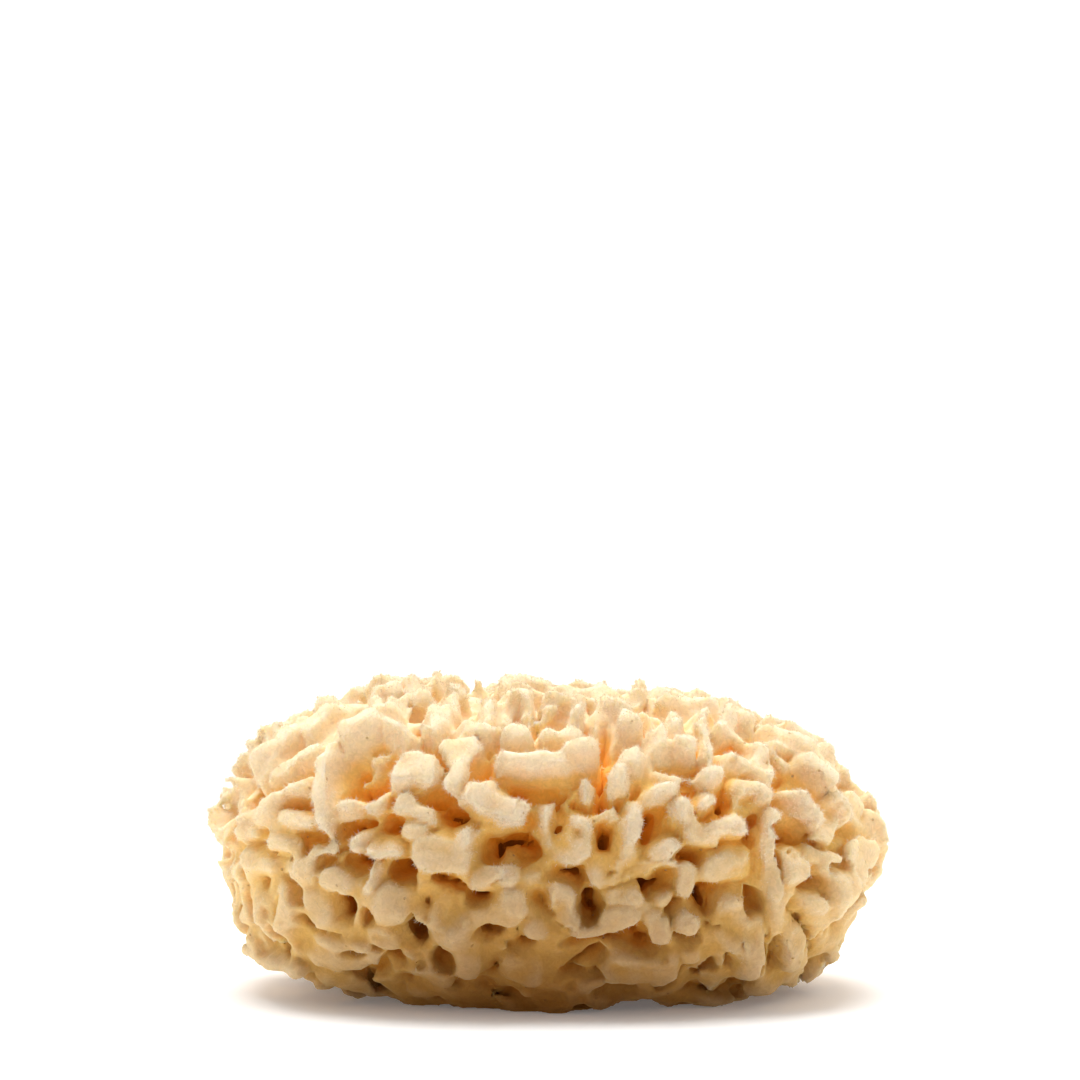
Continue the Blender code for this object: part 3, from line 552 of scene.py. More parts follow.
def skin_triangles(block: Block, field: Array) -> tuple[Array, Array]:
    """Closed surface where the field is 0, with each grid cube read as six tetrahedra.

    Args:
        block: The grid.
        field: One value per grid point, below 0 inside.

    Returns:
        Vertex places, one per row, and triangles as rows of three vertex numbers.
    """
    inside = field < 0
    total = sum(
        inside[tuple(slice(c, n - 1 + c) for c, n in zip(corner, block.count))].astype(int)
        for corner in product((0, 1), repeat=3)
    )
    cubes = np.argwhere((total > 0) & (total < 8))
    strides = np.array([block.count[1] * block.count[2], block.count[2], 1])
    values = field.ravel()
    triangles = []
    for order in permutations(range(3)):
        steps = np.zeros((4, 3), int)
        for n, axis in enumerate(order):
            steps[n + 1:, axis] = 1
        corners = (cubes @ strides)[:, None] + steps @ strides
        mirrored = np.linalg.det(np.eye(3)[list(order)]) < 0
        case = (values[corners] < 0) @ np.array([1, 2, 4, 8])
        for mask in range(1, 15):
            chosen = corners[case == mask]
            within = [k for k in range(4) if mask >> k & 1]
            without = [k for k in range(4) if not mask >> k & 1]
            if len(within) == 2:
                (a, b), (c, d) = within, without
                loops = [[(a, c), (b, c), (b, d)], [(a, c), (b, d), (a, d)]]
                turned = np.linalg.det(np.eye(4)[[a, b, c, d]]) > 0
            else:
                (a,), (b, c, d) = sorted((within, without), key=len)
                loops = [[(a, b), (a, c), (a, d)]]
                turned = (np.linalg.det(np.eye(4)[[a, b, c, d]]) < 0) == (len(within) == 1)
            for loop in loops:
                loop = [sorted(edge) for edge in loop]
                if turned != mirrored:
                    loop = loop[::-1]
                triangles.append(chosen[:, loop])
    ends = np.concatenate(triangles)
    edges, faces = np.unique(ends[..., 0] * values.size + ends[..., 1], return_inverse=True)
    a, b = edges // values.size, edges % values.size
    share = np.clip(values[a] / (values[a] - values[b]), OFF_THE_ENDS, 1 - OFF_THE_ENDS)
    flat = block.points.reshape(3, -1)
    vertices = (flat[:, a] + share * (flat[:, b] - flat[:, a])).T
    return vertices, faces.reshape(-1, 3)


def one_piece(vertices: Array, faces: Array) -> tuple[Array, Array]:
    """The largest joined piece of a mesh.

    Args:
        vertices: Vertex places, one per row.
        faces: Triangles as rows of three vertex numbers.

    Returns:
        The vertices and triangles of that piece alone.
    """
    label = np.arange(len(vertices))
    changed = True
    while changed:
        lowest = label[faces].min(1)
        before = label.copy()
        for corner in range(3):
            np.minimum.at(label, faces[:, corner], lowest)
        label = label[label]
        changed = bool((label != before).any())
    main = np.bincount(label).argmax()
    kept = np.flatnonzero(label == main)
    number = np.full(len(vertices), -1)
    number[kept] = np.arange(len(kept))
    return vertices[kept], number[faces[label[faces[:, 0]] == main]]


def mesh_of(name: str, vertices: Array, faces: Array) -> bpy.types.Mesh:
    """A smooth-shaded mesh from vertex places and triangles.

    Args:
        name: The mesh's name.
        vertices: Vertex places, one per row.
        faces: Triangles as rows of three vertex numbers.

    Returns:
        The mesh.
    """
    mesh = bpy.data.meshes.new(name)
    mesh.vertices.add(len(vertices))
    mesh.vertices.foreach_set("co", vertices.astype(np.float32).ravel())
    mesh.loops.add(faces.size)
    mesh.loops.foreach_set("vertex_index", faces.astype(np.int32).ravel())
    mesh.polygons.add(len(faces))
    mesh.polygons.foreach_set("loop_start", np.arange(0, faces.size, 3, dtype=np.int32))
    mesh.update(calc_edges=True)
    mesh.polygons.foreach_set("use_smooth", np.ones(len(faces), bool))
    return mesh


def vertex_places(mesh: bpy.types.Mesh) -> Array:
    """A mesh's vertex places, one per row.

    Args:
        mesh: The mesh.

    Returns:
        Rows of x, y and z.
    """
    places = np.empty(3 * len(mesh.vertices), np.float32)
    mesh.vertices.foreach_get("co", places)
    return places.reshape(-1, 3).astype(float)


def vertex_normals(mesh: bpy.types.Mesh) -> Array:
    """A mesh's vertex normals, one per row.

    Args:
        mesh: The mesh.

    Returns:
        Rows of x, y and z.
    """
    normals = np.empty(3 * len(mesh.vertices), np.float32)
    mesh.vertices.foreach_get("normal", normals)
    return normals.reshape(-1, 3).astype(float)


def vertex_values(mesh: bpy.types.Mesh, name: str) -> Array:
    """The numbers that a mesh holds for its vertices.

    Args:
        mesh: The mesh.
        name: The numbers' name.

    Returns:
        One value per vertex.
    """
    values = np.empty(len(mesh.vertices), np.float32)
    mesh.attributes[name].data.foreach_get("value", values)
    return values


class Bench:
    """A material's nodes, set out and joined one by one."""

    SHEEN = 0.1

    def __init__(self, name: str, roughness: float) -> None:
        """Starts a matte material.

        Args:
            name: The material's name.
            roughness: How matte it is, 0 to 1.
        """
        self.material = bpy.data.materials.new(name)
        self.material.use_nodes = True
        self.shader = self.material.node_tree.nodes["Principled BSDF"]
        self.fill(self.shader, {
            "Roughness": roughness, "Metallic": 0.0, "Specular IOR Level": self.SHEEN,
        })

    def fill(self, node: bpy.types.Node, inputs: dict[str | int, object]) -> None:
        """Fills a node's sockets.

        Args:
            node: The node.
            inputs: What goes into each socket: a value, or another node's output.
        """
        for socket, value in inputs.items():
            if isinstance(value, bpy.types.NodeSocket):
                self.material.node_tree.links.new(value, node.inputs[socket])
            else:
                node.inputs[socket].default_value = value

    def node(
        self, kind: str, inputs: dict[str | int, object], **settings: object
    ) -> bpy.types.Node:
        """Sets out one more node.

        Args:
            kind: Its type, without the leading "ShaderNode".
            inputs: What goes into its sockets.
            settings: Its own settings, such as the operation.

        Returns:
            The node.
        """
        node = self.material.node_tree.nodes.new("ShaderNode" + kind)
        for setting, value in settings.items():
            setattr(node, setting, value)
        self.fill(node, inputs)
        return node

    def maths(self, operation: str, *inputs: object) -> bpy.types.NodeSocket:
        """The outcome of one sum on numbers or outputs."""
        return self.node("Math", dict(enumerate(inputs)), operation=operation).outputs[0]

    def stored(self, name: str) -> bpy.types.NodeSocket:
        """A value that the mesh holds for each vertex."""
        return self.node("Attribute", {}, attribute_name=name).outputs["Fac"]

    def tanned_and_shaded(self, colour: object) -> bpy.types.NodeSocket:
        """A colour, browner and darker toward the foot of the sponge, partly a tan and partly
        painted shade.

        Args:
            colour: A colour or a node's output.

        Returns:
            The tanned and painted-shaded colour.
        """
        return self.node("Mix", {
            "Factor": self.stored("lowness"), "A": colour, "B": Tone.UNDERSIDE.rgba,
        }, data_type="RGBA", blend_type="MULTIPLY").outputs["Result"]


@dataclass(frozen=True)
class SpongeFinish:
    """Dry fibre: matte, lets light through, cream on its crests and deep orange in the gaps, the
    gaps' tone partly its own colour and partly painted shade.
    """

    name: str
    roughness: float = 0.92
    light_through: float = 0.65
    # Strength of the painted glow: an emission in the upper gaps that stands in for light coming
    # through the body
    glow: float = 0.24
    light_reach: tuple[float, float, float] = (4.0 * MM, 3.2 * MM, 1.8 * MM)
    fibre_size: float = 0.35 * MM
    fibre_height: float = 0.3 * MM
    fibres_in_mat: int = 3
    fibre_detail: float = 3.0
    fibre_bend: float = 1.2
    mottling: float = 0.15
    mottle_span: tuple[float, float] = (0.3, 0.7)
    pore_size: float = 0.35 * MM
    pore_spacing: float = 4.2 * MM
    pore_edge: tuple[float, float] = (0.5, 1.1)
    pore_softness: float = 0.4
    bending: float = 1.4
    blotch_size: float = 6.25 * MM
    blotch_detail: float = 4.0
    blotch_shift: float = 0.10

    # Share of open space about a place, and the tone there: the darker tones in the less open
    # places are partly the sponge's own colour and partly painted shade
    steps: tuple[tuple[float, Tone], ...] = (
        (0.01, Tone.CANAL), (0.13, Tone.BROWN), (0.34, Tone.ORANGE), (0.53, Tone.OCHRE),
        (0.69, Tone.CREAM), (0.84, Tone.CREST),
    )

    def material(self) -> bpy.types.Material:
        """The finish as a material that reads the mesh's 'paleness', 'lowness' and 'glow'.

        Returns:
            The material.
        """
        bench = Bench(self.name, self.roughness)
        places = bench.node("TexCoord", {}).outputs["Object"]
        pores, mottle = self.pores(bench, places), self.mottle(bench, places)
        relief = bench.maths("MULTIPLY", pores, mottle)
        bump = bench.node("Bump", {
            "Strength": 1.0, "Distance": self.fibre_height, "Height": relief,
        })
        tone = self.tone(bench, places)
        # Pinholes shown as darker dots: painted shade inside the tiny holes, with a bump as well
        dotted = bench.node("Mix", {
            "Factor": bench.maths("POWER", pores, self.pore_softness),
            "A": Tone.PORE.rgba,
            "B": tone,
        }, data_type="RGBA")
        mottled = bench.node("VectorMath", {
            0: dotted.outputs["Result"], "Scale": mottle,
        }, operation="SCALE")
        bench.fill(bench.shader, {
            "IOR": self.bending,
            "Subsurface Weight": self.light_through,
            "Subsurface Radius": self.light_reach,
            "Subsurface Scale": 1.0,
            # Base colour made darker toward the foot: partly a tan, partly painted shade
            "Base Color": bench.tanned_and_shaded(mottled.outputs["Vector"]),
            # Emission in the upper gaps is a painted glow, not a lamp
            "Emission Color": tone,
            "Emission Strength": bench.maths("MULTIPLY", bench.stored("glow"), self.glow),
            "Normal": bump.outputs["Normal"],
        })
        return bench.material

    def pores(self, bench: Bench, places: bpy.types.NodeSocket) -> bpy.types.NodeSocket:
        """Fine pinholes, a pore's spacing apart.

        Args:
            bench: The material's nodes.
            places: Where each point of the piece lies.

        Returns:
            0 in a pore, 1 between the pores.
        """
        cells = bench.node("TexVoronoi", {"Scale": 1 / self.pore_spacing, "Vector": places})
        share = self.pore_size / self.pore_spacing
        edge = bench.node("MapRange", {
            "From Min": self.pore_edge[0] * share,
            "From Max": self.pore_edge[1] * share,
            "Value": cells.outputs["Distance"],
        })
        return edge.outputs["Result"]

    def mottle(self, bench: Bench, places: bpy.types.NodeSocket) -> bpy.types.NodeSocket:
        """Uneven lightness as of matted fibres.

        Args:
            bench: The material's nodes.
            places: Where each point of the piece lies.

        Returns:
            1 at the lightest, less elsewhere.
        """
        fibres = bench.node("TexNoise", {
            "Scale": 1 / (self.fibres_in_mat * self.fibre_size),
            "Detail": self.fibre_detail,
            "Distortion": self.fibre_bend,
            "Vector": places,
        })
        spread = bench.node("MapRange", {
            "From Min": self.mottle_span[0],
            "From Max": self.mottle_span[1],
            "To Min": 1 - self.mottling,
            "Value": fibres.outputs["Fac"],
        })
        return spread.outputs["Result"]

    def tone(self, bench: Bench, places: bpy.types.NodeSocket) -> bpy.types.NodeSocket:
        """The tone of each place by its paleness, with slight blotches.

        Args:
            bench: The material's nodes.
            places: Where each point of the piece lies.

        Returns:
            The tone as a colour.
        """
        blotches = bench.node("TexNoise", {
            "Scale": 1 / self.blotch_size, "Detail": self.blotch_detail, "Vector": places,
        })
        shifted = bench.maths(
            "MULTIPLY_ADD", blotches.outputs["Fac"], self.blotch_shift, bench.stored("paleness")
        )
        evened = bench.maths("SUBTRACT", shifted, self.blotch_shift / 2)
        ramp = bench.node("ValToRGB", {"Fac": evened})
        ramp.color_ramp.interpolation = "EASE"
        elements = ramp.color_ramp.elements
        while len(elements) < len(self.steps):
            elements.new(0.5)
        for element, (place, tone) in zip(elements, self.steps):
            element.position = place
            element.color = tone.rgba
        return ramp.outputs["Color"]


@dataclass(frozen=True)
class FuzzFinish:
    """Fine pale fibres, browner and darker toward the foot of the sponge, partly a tan and partly
    painted shade.
    """

    name: str
    roughness: float = 0.8

    def material(self) -> bpy.types.Material:
        """The finish as a material.

        Returns:
            The material.
        """
        bench = Bench(self.name, self.roughness)
        bench.fill(bench.shader, {"Base Color": bench.tanned_and_shaded(Tone.CREST.rgba)})
        return bench.material


@dataclass
class Sponge:
    """The sponge: pits hollowed out of a loaf's skin and lobes left standing on it."""

    loaf: Loaf
    eye: Eye
    cell: float
    triangles: int = 190_000
    seed: int = 11

    # Relief: wavelength and size
    lumps: tuple[tuple[float, float], ...] = ((13 * MM, 1.5 * MM), (5 * MM, 1.3 * MM))
    knurls: tuple[tuple[float, float], ...] = ((3.4 * MM, 0.95 * MM),)
    wander: tuple[tuple[float, float], ...] = (
        (10 * MM, 0.9 * MM), (5.2 * MM, 0.75 * MM), (2.8 * MM, 0.65 * MM), (1.7 * MM, 0.25 * MM),
    )
    grain: tuple[tuple[float, float], ...] = (
        (3.4 * MM, 0.55 * MM), (2.1 * MM, 0.38 * MM), (1.4 * MM, 0.28 * MM),
    )

    # How far the skin between lobes lies under the loaf, low down and high up
    recess: tuple[float, float] = (0.4 * MM, 2.3 * MM)
    recess_heights: tuple[float, float] = (26 * MM, 44 * MM)
    blend: float = 0.6 * MM
    roughness: float = 0.07 * MM
    deeper: tuple[float, float] = (1.35, 1.0)
    deeper_heights: tuple[float, float] = (20, 44)
    inset: float = 1.2 * MM

    # Pits listed with at least this depth in mm also cut through the lobes beside them
    hole_depth: float = 11.5

    # Pits and lobes over the sides, back and top
    gap: float = 8.4 * MM
    top_gap: float = 10.5 * MM
    top: float = 52 * MM
    pit_widths: tuple[float, float] = (0.5, 1.15)
    pit_depths: tuple[float, float] = (7 * MM, 13 * MM)
    lobe_widths: tuple[float, float] = (3.6 * MM, 6 * MM)
    lobe_lengths: tuple[float, float] = (6 * MM, 14 * MM)
    lobe_rises: tuple[float, float] = (-0.6 * MM, 1.2 * MM)
    scatter: tuple[float, float, float] = (1.3, 1, 0.8)
    front_facing: float = 0.12
    tries: int = 12000

    # Winding walls with gaps between them: wavelengths and weights, half thickness, and depth
    walls: tuple[tuple[float, float], ...] = ((4.6 * MM, 1.0), (2.5 * MM, 0.3))
    wall_share: float = 0.27
    fewer_in_front: float = 0.09
    more_below: float = 0.20
    shallower_below: float = 0.45
    wall_scale: float = 5.5 * MM
    wall_depth: float = 5.6 * MM
    wall_lean: float = 0.28

    # How the listed forms bear on the walls: reach past their edge, most, weight, and shoulder
    lobe_fringe: float = 0.2 * MM
    pit_fringe: float = 1.15 * MM
    firmness: float = 2.6 * MM
    gain: float = 1.8
    shoulder: float = 1.4 * MM

    # How a pit narrows as it goes down, how a lobe widens, and how square both are
    funnel: float = 0.75
    corners: float = 2.8
    lean: float = 0.10
    lobe_root: float = 6 * MM
    room: float = 1.2
    margin: float = 3.5 * MM
    pit_corners: float = 2.2
    pit_curve: float = 1.3
    deepest_skin: float = 25 * MM
    least_facing: float = 0.4
    foot_facing: float = 0.6

    # Openness, whose darker tones are partly painted shade and whose height term is painted light:
    # how near and far it looks, the near share, and what depth and height add
    near: float = 1.6 * MM
    far: float = 4.0 * MM
    near_share: float = 0.35
    full_depth: float = 9 * MM
    mean_half_depth: float = 38 * MM
    height: float = 67 * MM
    depth_share: float = 0.16
    middle_depth: float = 0.45
    height_share: float = 0.22
    middle_height: float = 0.65

    # Where gaps come close to the crests in tone, which paints light into the gaps at the top and
    # the ends: how much, from where, and over what distance
    pale_top: tuple[float, float, float] = (0.85, 41 * MM, 18 * MM)
    pale_ends: tuple[float, float, float] = (0.62, 36 * MM, 30 * MM)
    pale_foot: tuple[float, float, float] = (0.40, 36 * MM, 14 * MM)
    pale_foot_depth: tuple[float, float] = (1.6, 1.8)
    middle_heights: tuple[float, float] = (25 * MM, 50 * MM)
    middle_tones: tuple[float, float] = (0.65, 0.76)

    # How far up the foot's brown tan and painted shade reach, how they fade, and how little the
    # ends have of them, the ends being left paler as painted light
    tan_and_shade_height: float = 54 * MM
    tan_and_shade_fade: float = 1.1
    tan_and_shade_at_ends: float = 0.1

    # Painted glow: heights in mm and the light that comes through there, and the openness that it
    # ends at
    glow_heights: tuple[float, ...] = (20, 32, 44, 54, 66)
    glow_shares: tuple[float, ...] = (0, 0.3, 0.9, 1, 0.7)
    glow_end: float = 0.52
    glow_span: float = 0.4

    # Spur at the lower left: across and up of its root and tip, and its thickness at each
    spur_root: tuple[float, float] = (-53, 9)
    spur_tip: tuple[float, float] = (-63, 11.6)
    spur_radii: tuple[float, float] = (2.2 * MM, 0.7 * MM)

    def soft_max(self, first: Array, second: Array) -> Array:
        """The larger of two fields, rounded where they meet."""
        return self.blend * np.logaddexp(first / self.blend, second / self.blend)

    def scattered_forms(self) -> tuple[list[Form], list[Form]]:
        """Pits and lobes of the sides, back and top, kept off the front and off each other.

        Returns:
            The pits and the lobes.
        """
        rng = np.random.default_rng(self.seed)
        pits, lobes = [], []
        centre = np.array([0, 0, self.loaf.axis_height])
        taken = np.zeros((0, 3))
        lobe_places = np.zeros((0, 3))
        for _ in range(self.tries):
            direction = unit(rng.normal(size=3) * np.array(self.scatter)) * 10 * MM
            point = centre + direction / self.loaf.value(centre + direction)
            outward = self.loaf.outward(point)
            if outward @ unit(self.eye.place - point) > self.front_facing or point[2] < 0:
                continue
            gap = self.top_gap if point[2] > self.top else self.gap
            side = unit(np.cross(outward, rng.normal(size=3)))
            other = np.cross(outward, side)
            if not len(taken) or np.linalg.norm(taken - point, axis=1).min() > gap:
                taken = np.vstack([taken, point])
                wide, tall = gap * rng.uniform(*self.pit_widths, 2)
                deep = rng.uniform(*self.pit_depths)
                pits.append(Form(point, side * wide / 2, other * tall / 2, outward, deep))
            elif not len(lobe_places) or np.linalg.norm(lobe_places - point, axis=1).min() > gap:
                lobe_places = np.vstack([lobe_places, point])
                wide, tall = rng.uniform(*self.lobe_widths), rng.uniform(*self.lobe_lengths)
                rise = rng.uniform(*self.lobe_rises)
                lobes.append(Form(point, side * wide / 2, other * tall / 2, outward, rise))
        return pits, lobes

    def around(
        self, block: Block, places: Array, wander: Array, form: Form, reach: float
    ) -> tuple[tuple[slice, ...], Array]:
        """The part of the block about a form, and its places from the form's own place.

        Args:
            block: The grid.
            places: The grid's places, shifted by the wander.
            wander: The shift itself.
            form: The form.
            reach: How far down or out the form is felt.

        Returns:
            One slice per axis, and the offsets in that part.
        """
        centre = form.place + block.at(wander, form.place)
        widest = max(np.linalg.norm(form.first), np.linalg.norm(form.second))
        window = block.window(centre, self.room * max(widest, reach) + self.margin)
        return window, places[(slice(None), *window)] - centre[:, None, None, None]

    def spur(self, places: Array) -> Array:
        """Distance from the tapering spur.

        Args:
            places: The grid's places.

        Returns:
            One value per grid point, below 0 inside the spur.
        """
        root = self.eye.front_point(self.loaf, *self.spur_root)
        tip = self.eye.front_point(self.loaf, *self.spur_tip)
        along = tip - root
        offset = places - root[:, None, None, None]
        share = np.clip(np.tensordot(along, offset, 1) / (along @ along), 0, 1)
        away = np.sqrt(((offset - along[:, None, None, None] * share) ** 2).sum(0))
        thick, thin = self.spur_radii
        return away - thick - (thin - thick) * share

    def field(self, block: Block) -> Array:
        """The sponge as a signed field, below 0 inside it.

        Args:
            block: The grid.

        Returns:
            One value per grid point.
        """
        wander = np.stack([block.noises(self.wander, seed) for seed in Seed.WANDER.value])
        places = block.points + wander
        shape = self.loaf.value(places.reshape(3, -1)).reshape(block.count)
        slope = np.sqrt(sum(g**2 for g in np.gradient(shape, block.cell)))
        skin = np.clip((shape - 1) / slope, -self.deepest_skin, self.deepest_skin) + self.inset
        skin -= block.noises(self.lumps, Seed.LUMPS.value)
        knurls = block.noises(self.knurls, Seed.KNURLS.value)
        grain = block.noises(self.grain, Seed.GRAIN.value)
        low, high = self.recess_heights
        height = np.clip((block.points[2] - low) / (high - low), 0, 1)
        grown = np.gradient(shape, block.cell)
        facing = sum(g * part for g, part in zip(grown, self.eye.toward)) / slope
        facing = np.clip(facing / self.least_facing, 0, 1)
        recess = facing * (self.recess[0] + (self.recess[1] - self.recess[0]) * height)
        wall = block.noises(self.walls, Seed.WALLS.value)
        share = self.wall_share - self.fewer_in_front * facing * height
        share += self.more_below * np.maximum(facing, self.foot_facing) * (1 - height)
        wall = (np.abs(wall) - share) * self.wall_scale

        solid, proud = np.zeros(block.count), np.zeros(block.count)
        more_pits, more_lobes = self.scattered_forms()
        for lobe in [self.eye.form(self.loaf, listed) for listed in LOBES] + more_lobes:
            window, offset = self.around(block, places, wander, lobe, self.lobe_root)
            side, down = side_distance(offset, lobe, self.corners)
            side -= self.lean * np.clip(down, 0, 2 * self.lobe_root)
            inside = np.clip(self.lobe_fringe - side, 0, self.firmness)
            solid[window] = np.maximum(solid[window], inside)
            share = np.clip(inside / (self.lobe_fringe + self.shoulder), 0, 1)
            share = share**2 * (3 - 2 * share) * (recess[window] + lobe.reach)
            proud[window] = np.maximum(proud[window], share)

        hollow = np.zeros(block.count)
        deep = self.wall_depth * (1 - self.shallower_below * facing * (1 - height))
        deeper = [np.interp(listed[1], self.deeper_heights, self.deeper) for listed in PITS]
        pits = [self.eye.form(self.loaf, listed, more) for listed, more in zip(PITS, deeper)]
        holes = [listed[-1] >= self.hole_depth for listed in PITS] + [False] * len(more_pits)
        for pit, is_hole in zip(pits + more_pits, holes):
            window, offset = self.around(block, places, wander, pit, pit.reach)
            side, down = side_distance(offset, pit, self.pit_corners)
            narrow = min(np.linalg.norm(pit.first), np.linalg.norm(pit.second))
            side += self.funnel * narrow * np.clip(down / pit.reach, 0, 1) ** self.pit_curve
            inside = np.clip(self.pit_fringe - side, 0, self.firmness)
            hollow[window] = np.maximum(hollow[window], inside)
            share = np.clip(inside / self.pit_fringe, 0, 1)
            deep[window] = np.maximum(deep[window], share * pit.reach)
            if is_hole:
                solid[window] *= np.clip(1 + side / MM, 0, 1)

        crest = skin - knurls + recess - proud
        thinned = self.wall_lean * np.clip(-crest, 0, 2 * self.wall_depth)
        wall += self.gain * (hollow - solid) - thinned
        field = self.soft_max(crest, np.minimum(skin + recess + deep, wall))
        field = -self.soft_max(-field, -self.spur(places)) - grain
        return np.maximum(field, -block.points[2])

    def build(self) -> bpy.types.Object:
        """Builds and dresses the sponge's one piece.

        Returns:
            The sponge, in the place of the solid.
        """
        block = Block(self.loaf, self.cell)
        field = self.field(block)
        vertices, faces = one_piece(*skin_triangles(block, field))
        raw = mesh_of("sponge_skin", vertices, faces)
        sponge = bpy.data.objects.new("sponge_skin", raw)
        bpy.context.scene.collection.objects.link(sponge)
        fewer = sponge.modifiers.new("fewer faces", "DECIMATE")
        fewer.ratio = min(1.0, self.triangles / len(faces))
        shown = sponge.evaluated_get(bpy.context.evaluated_depsgraph_get())
        sponge.data = bpy.data.meshes.new_from_object(shown)
        sponge.modifiers.remove(fewer)
        bpy.data.meshes.remove(raw)

        mesh = sponge.data
        mesh.name = "sponge_skin"
        places = vertex_places(mesh)
        # Openness and paleness set the gap tones, partly painted shade; lowness sets the tan toward
        # the foot, partly painted shade; glow sets the painted glow in the upper gaps
        openness, depth = self.openness(block, field, places)
        self.add_value(mesh, "openness", openness)
        self.add_value(mesh, "paleness", self.paleness(places, openness, depth))
        self.add_value(mesh, "lowness", self.lowness(places))
        self.add_value(mesh, "glow", self.glow(places, openness))
        low, high = SOLID_BOX
        middle = (np.array(low) + np.array(high)) / 2
        own = (places.min(0) + places.max(0)) / 2
        places[:, :2] += middle[:2] - own[:2]
        rng = np.random.default_rng(self.seed)
        places += rng.normal(size=places.shape) * self.roughness
        places[:, 2] = np.maximum(places[:, 2], 0)
        mesh.vertices.foreach_set("co", places.astype(np.float32).ravel())
        mesh.materials.append(SpongeFinish("dry sponge").material())
        mesh.update()
        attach(sponge, "root")
        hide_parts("sponge")
        log.info("sponge skin: %d triangles", len(mesh.polygons))
        return sponge

    def openness(self, block: Block, field: Array, places: Array) -> tuple[Array, Array]:
        """Share of open space about each place, near and far, and how deep down it lies, 0 to 1.

        Args:
            block: The grid.
            field: The sponge's field on it.
            places: Places on the skin, one per row.

        Returns:
            The share and the depth, one value each per place.
        """
        empty = 1 - np.clip(0.5 - field / block.cell, 0, 1)
        near = block.sample(block.blurred(empty, self.near), places)
        far = block.sample(block.blurred(empty, self.far), places)
        depth = (1 - self.loaf.value(places.T)) * self.mean_half_depth / self.full_depth
        depth = np.clip(depth, 0, 1)
        # Less open and deeper places take darker tones, partly painted shade; higher places take
        # paler ones, painted light
        openness = self.near_share * near + (1 - self.near_share) * far
        openness += self.depth_share * (self.middle_depth - depth)
        openness += self.height_share * (places[:, 2] / self.height - self.middle_height)
        return openness, depth

    def paleness(self, places: Array, openness: Array, depth: Array) -> Array:
        """Where each place stands on the finish's tones.

        Gaps and crests are more alike at the top, at the ends and low down, but for the deep holes:
        the paler gaps at the top and the ends are painted light.

        Args:
            places: Places on the skin, one per row.
            openness: Share of open space about each place.
            depth: How deep down each place lies, 0 to 1.

        Returns:
            One value per place.
        """
        height = places[:, 2]

        def share(distance: Array, most: float, start: float, span: float) -> Array:
            """A share that grows with the distance past its start."""
            return most * np.clip((distance - start) / span, 0, 1)

        top = share(height, *self.pale_top)
        ends = share(np.abs(places[:, 0]), *self.pale_ends)
        most, start, span = self.pale_foot
        least, fall = self.pale_foot_depth
        foot = share(-height, most, -start, span) * np.clip(least - fall * depth, 0, 1)
        alike = 1 - (1 - top) * (1 - ends) * (1 - foot)
        middle = np.interp(height, self.middle_heights, self.middle_tones)
        return openness + alike * (middle - openness)

    def lowness(self, places: Array) -> Array:
        """1 at the middle of the foot, less toward the ends, 0 from the tan's height up: it sets a
        brown tan that is partly painted shade, and the paler ends are painted light.

        Args:
            places: Places on the skin, one per row.

        Returns:
            One value per place.
        """
        height = places[:, 2] / self.tan_and_shade_height
        outward = np.clip(2 * np.abs(places[:, 0]) / self.loaf.length, 0, 1)
        inner = 1 - (1 - self.tan_and_shade_at_ends) * outward**2
        return inner * np.clip(1 - height, 0, 1) ** self.tan_and_shade_fade

    def glow(self, places: Array, openness: Array) -> Array:
        """Painted glow that stands in for light coming through the porous body into its upper gaps,
        0 outside them.
        """
        share = np.interp(places[:, 2] / MM, self.glow_heights, self.glow_shares)
        return share * np.clip((self.glow_end - openness) / self.glow_span, 0, 1)

    @staticmethod
    def add_value(mesh: bpy.types.Mesh, name: str, values: Array) -> None:
        """Stores one number per vertex for the finish to read."""
        stored = mesh.attributes.new(name, "FLOAT", "POINT")
        stored.data.foreach_set("value", values.astype(np.float32))


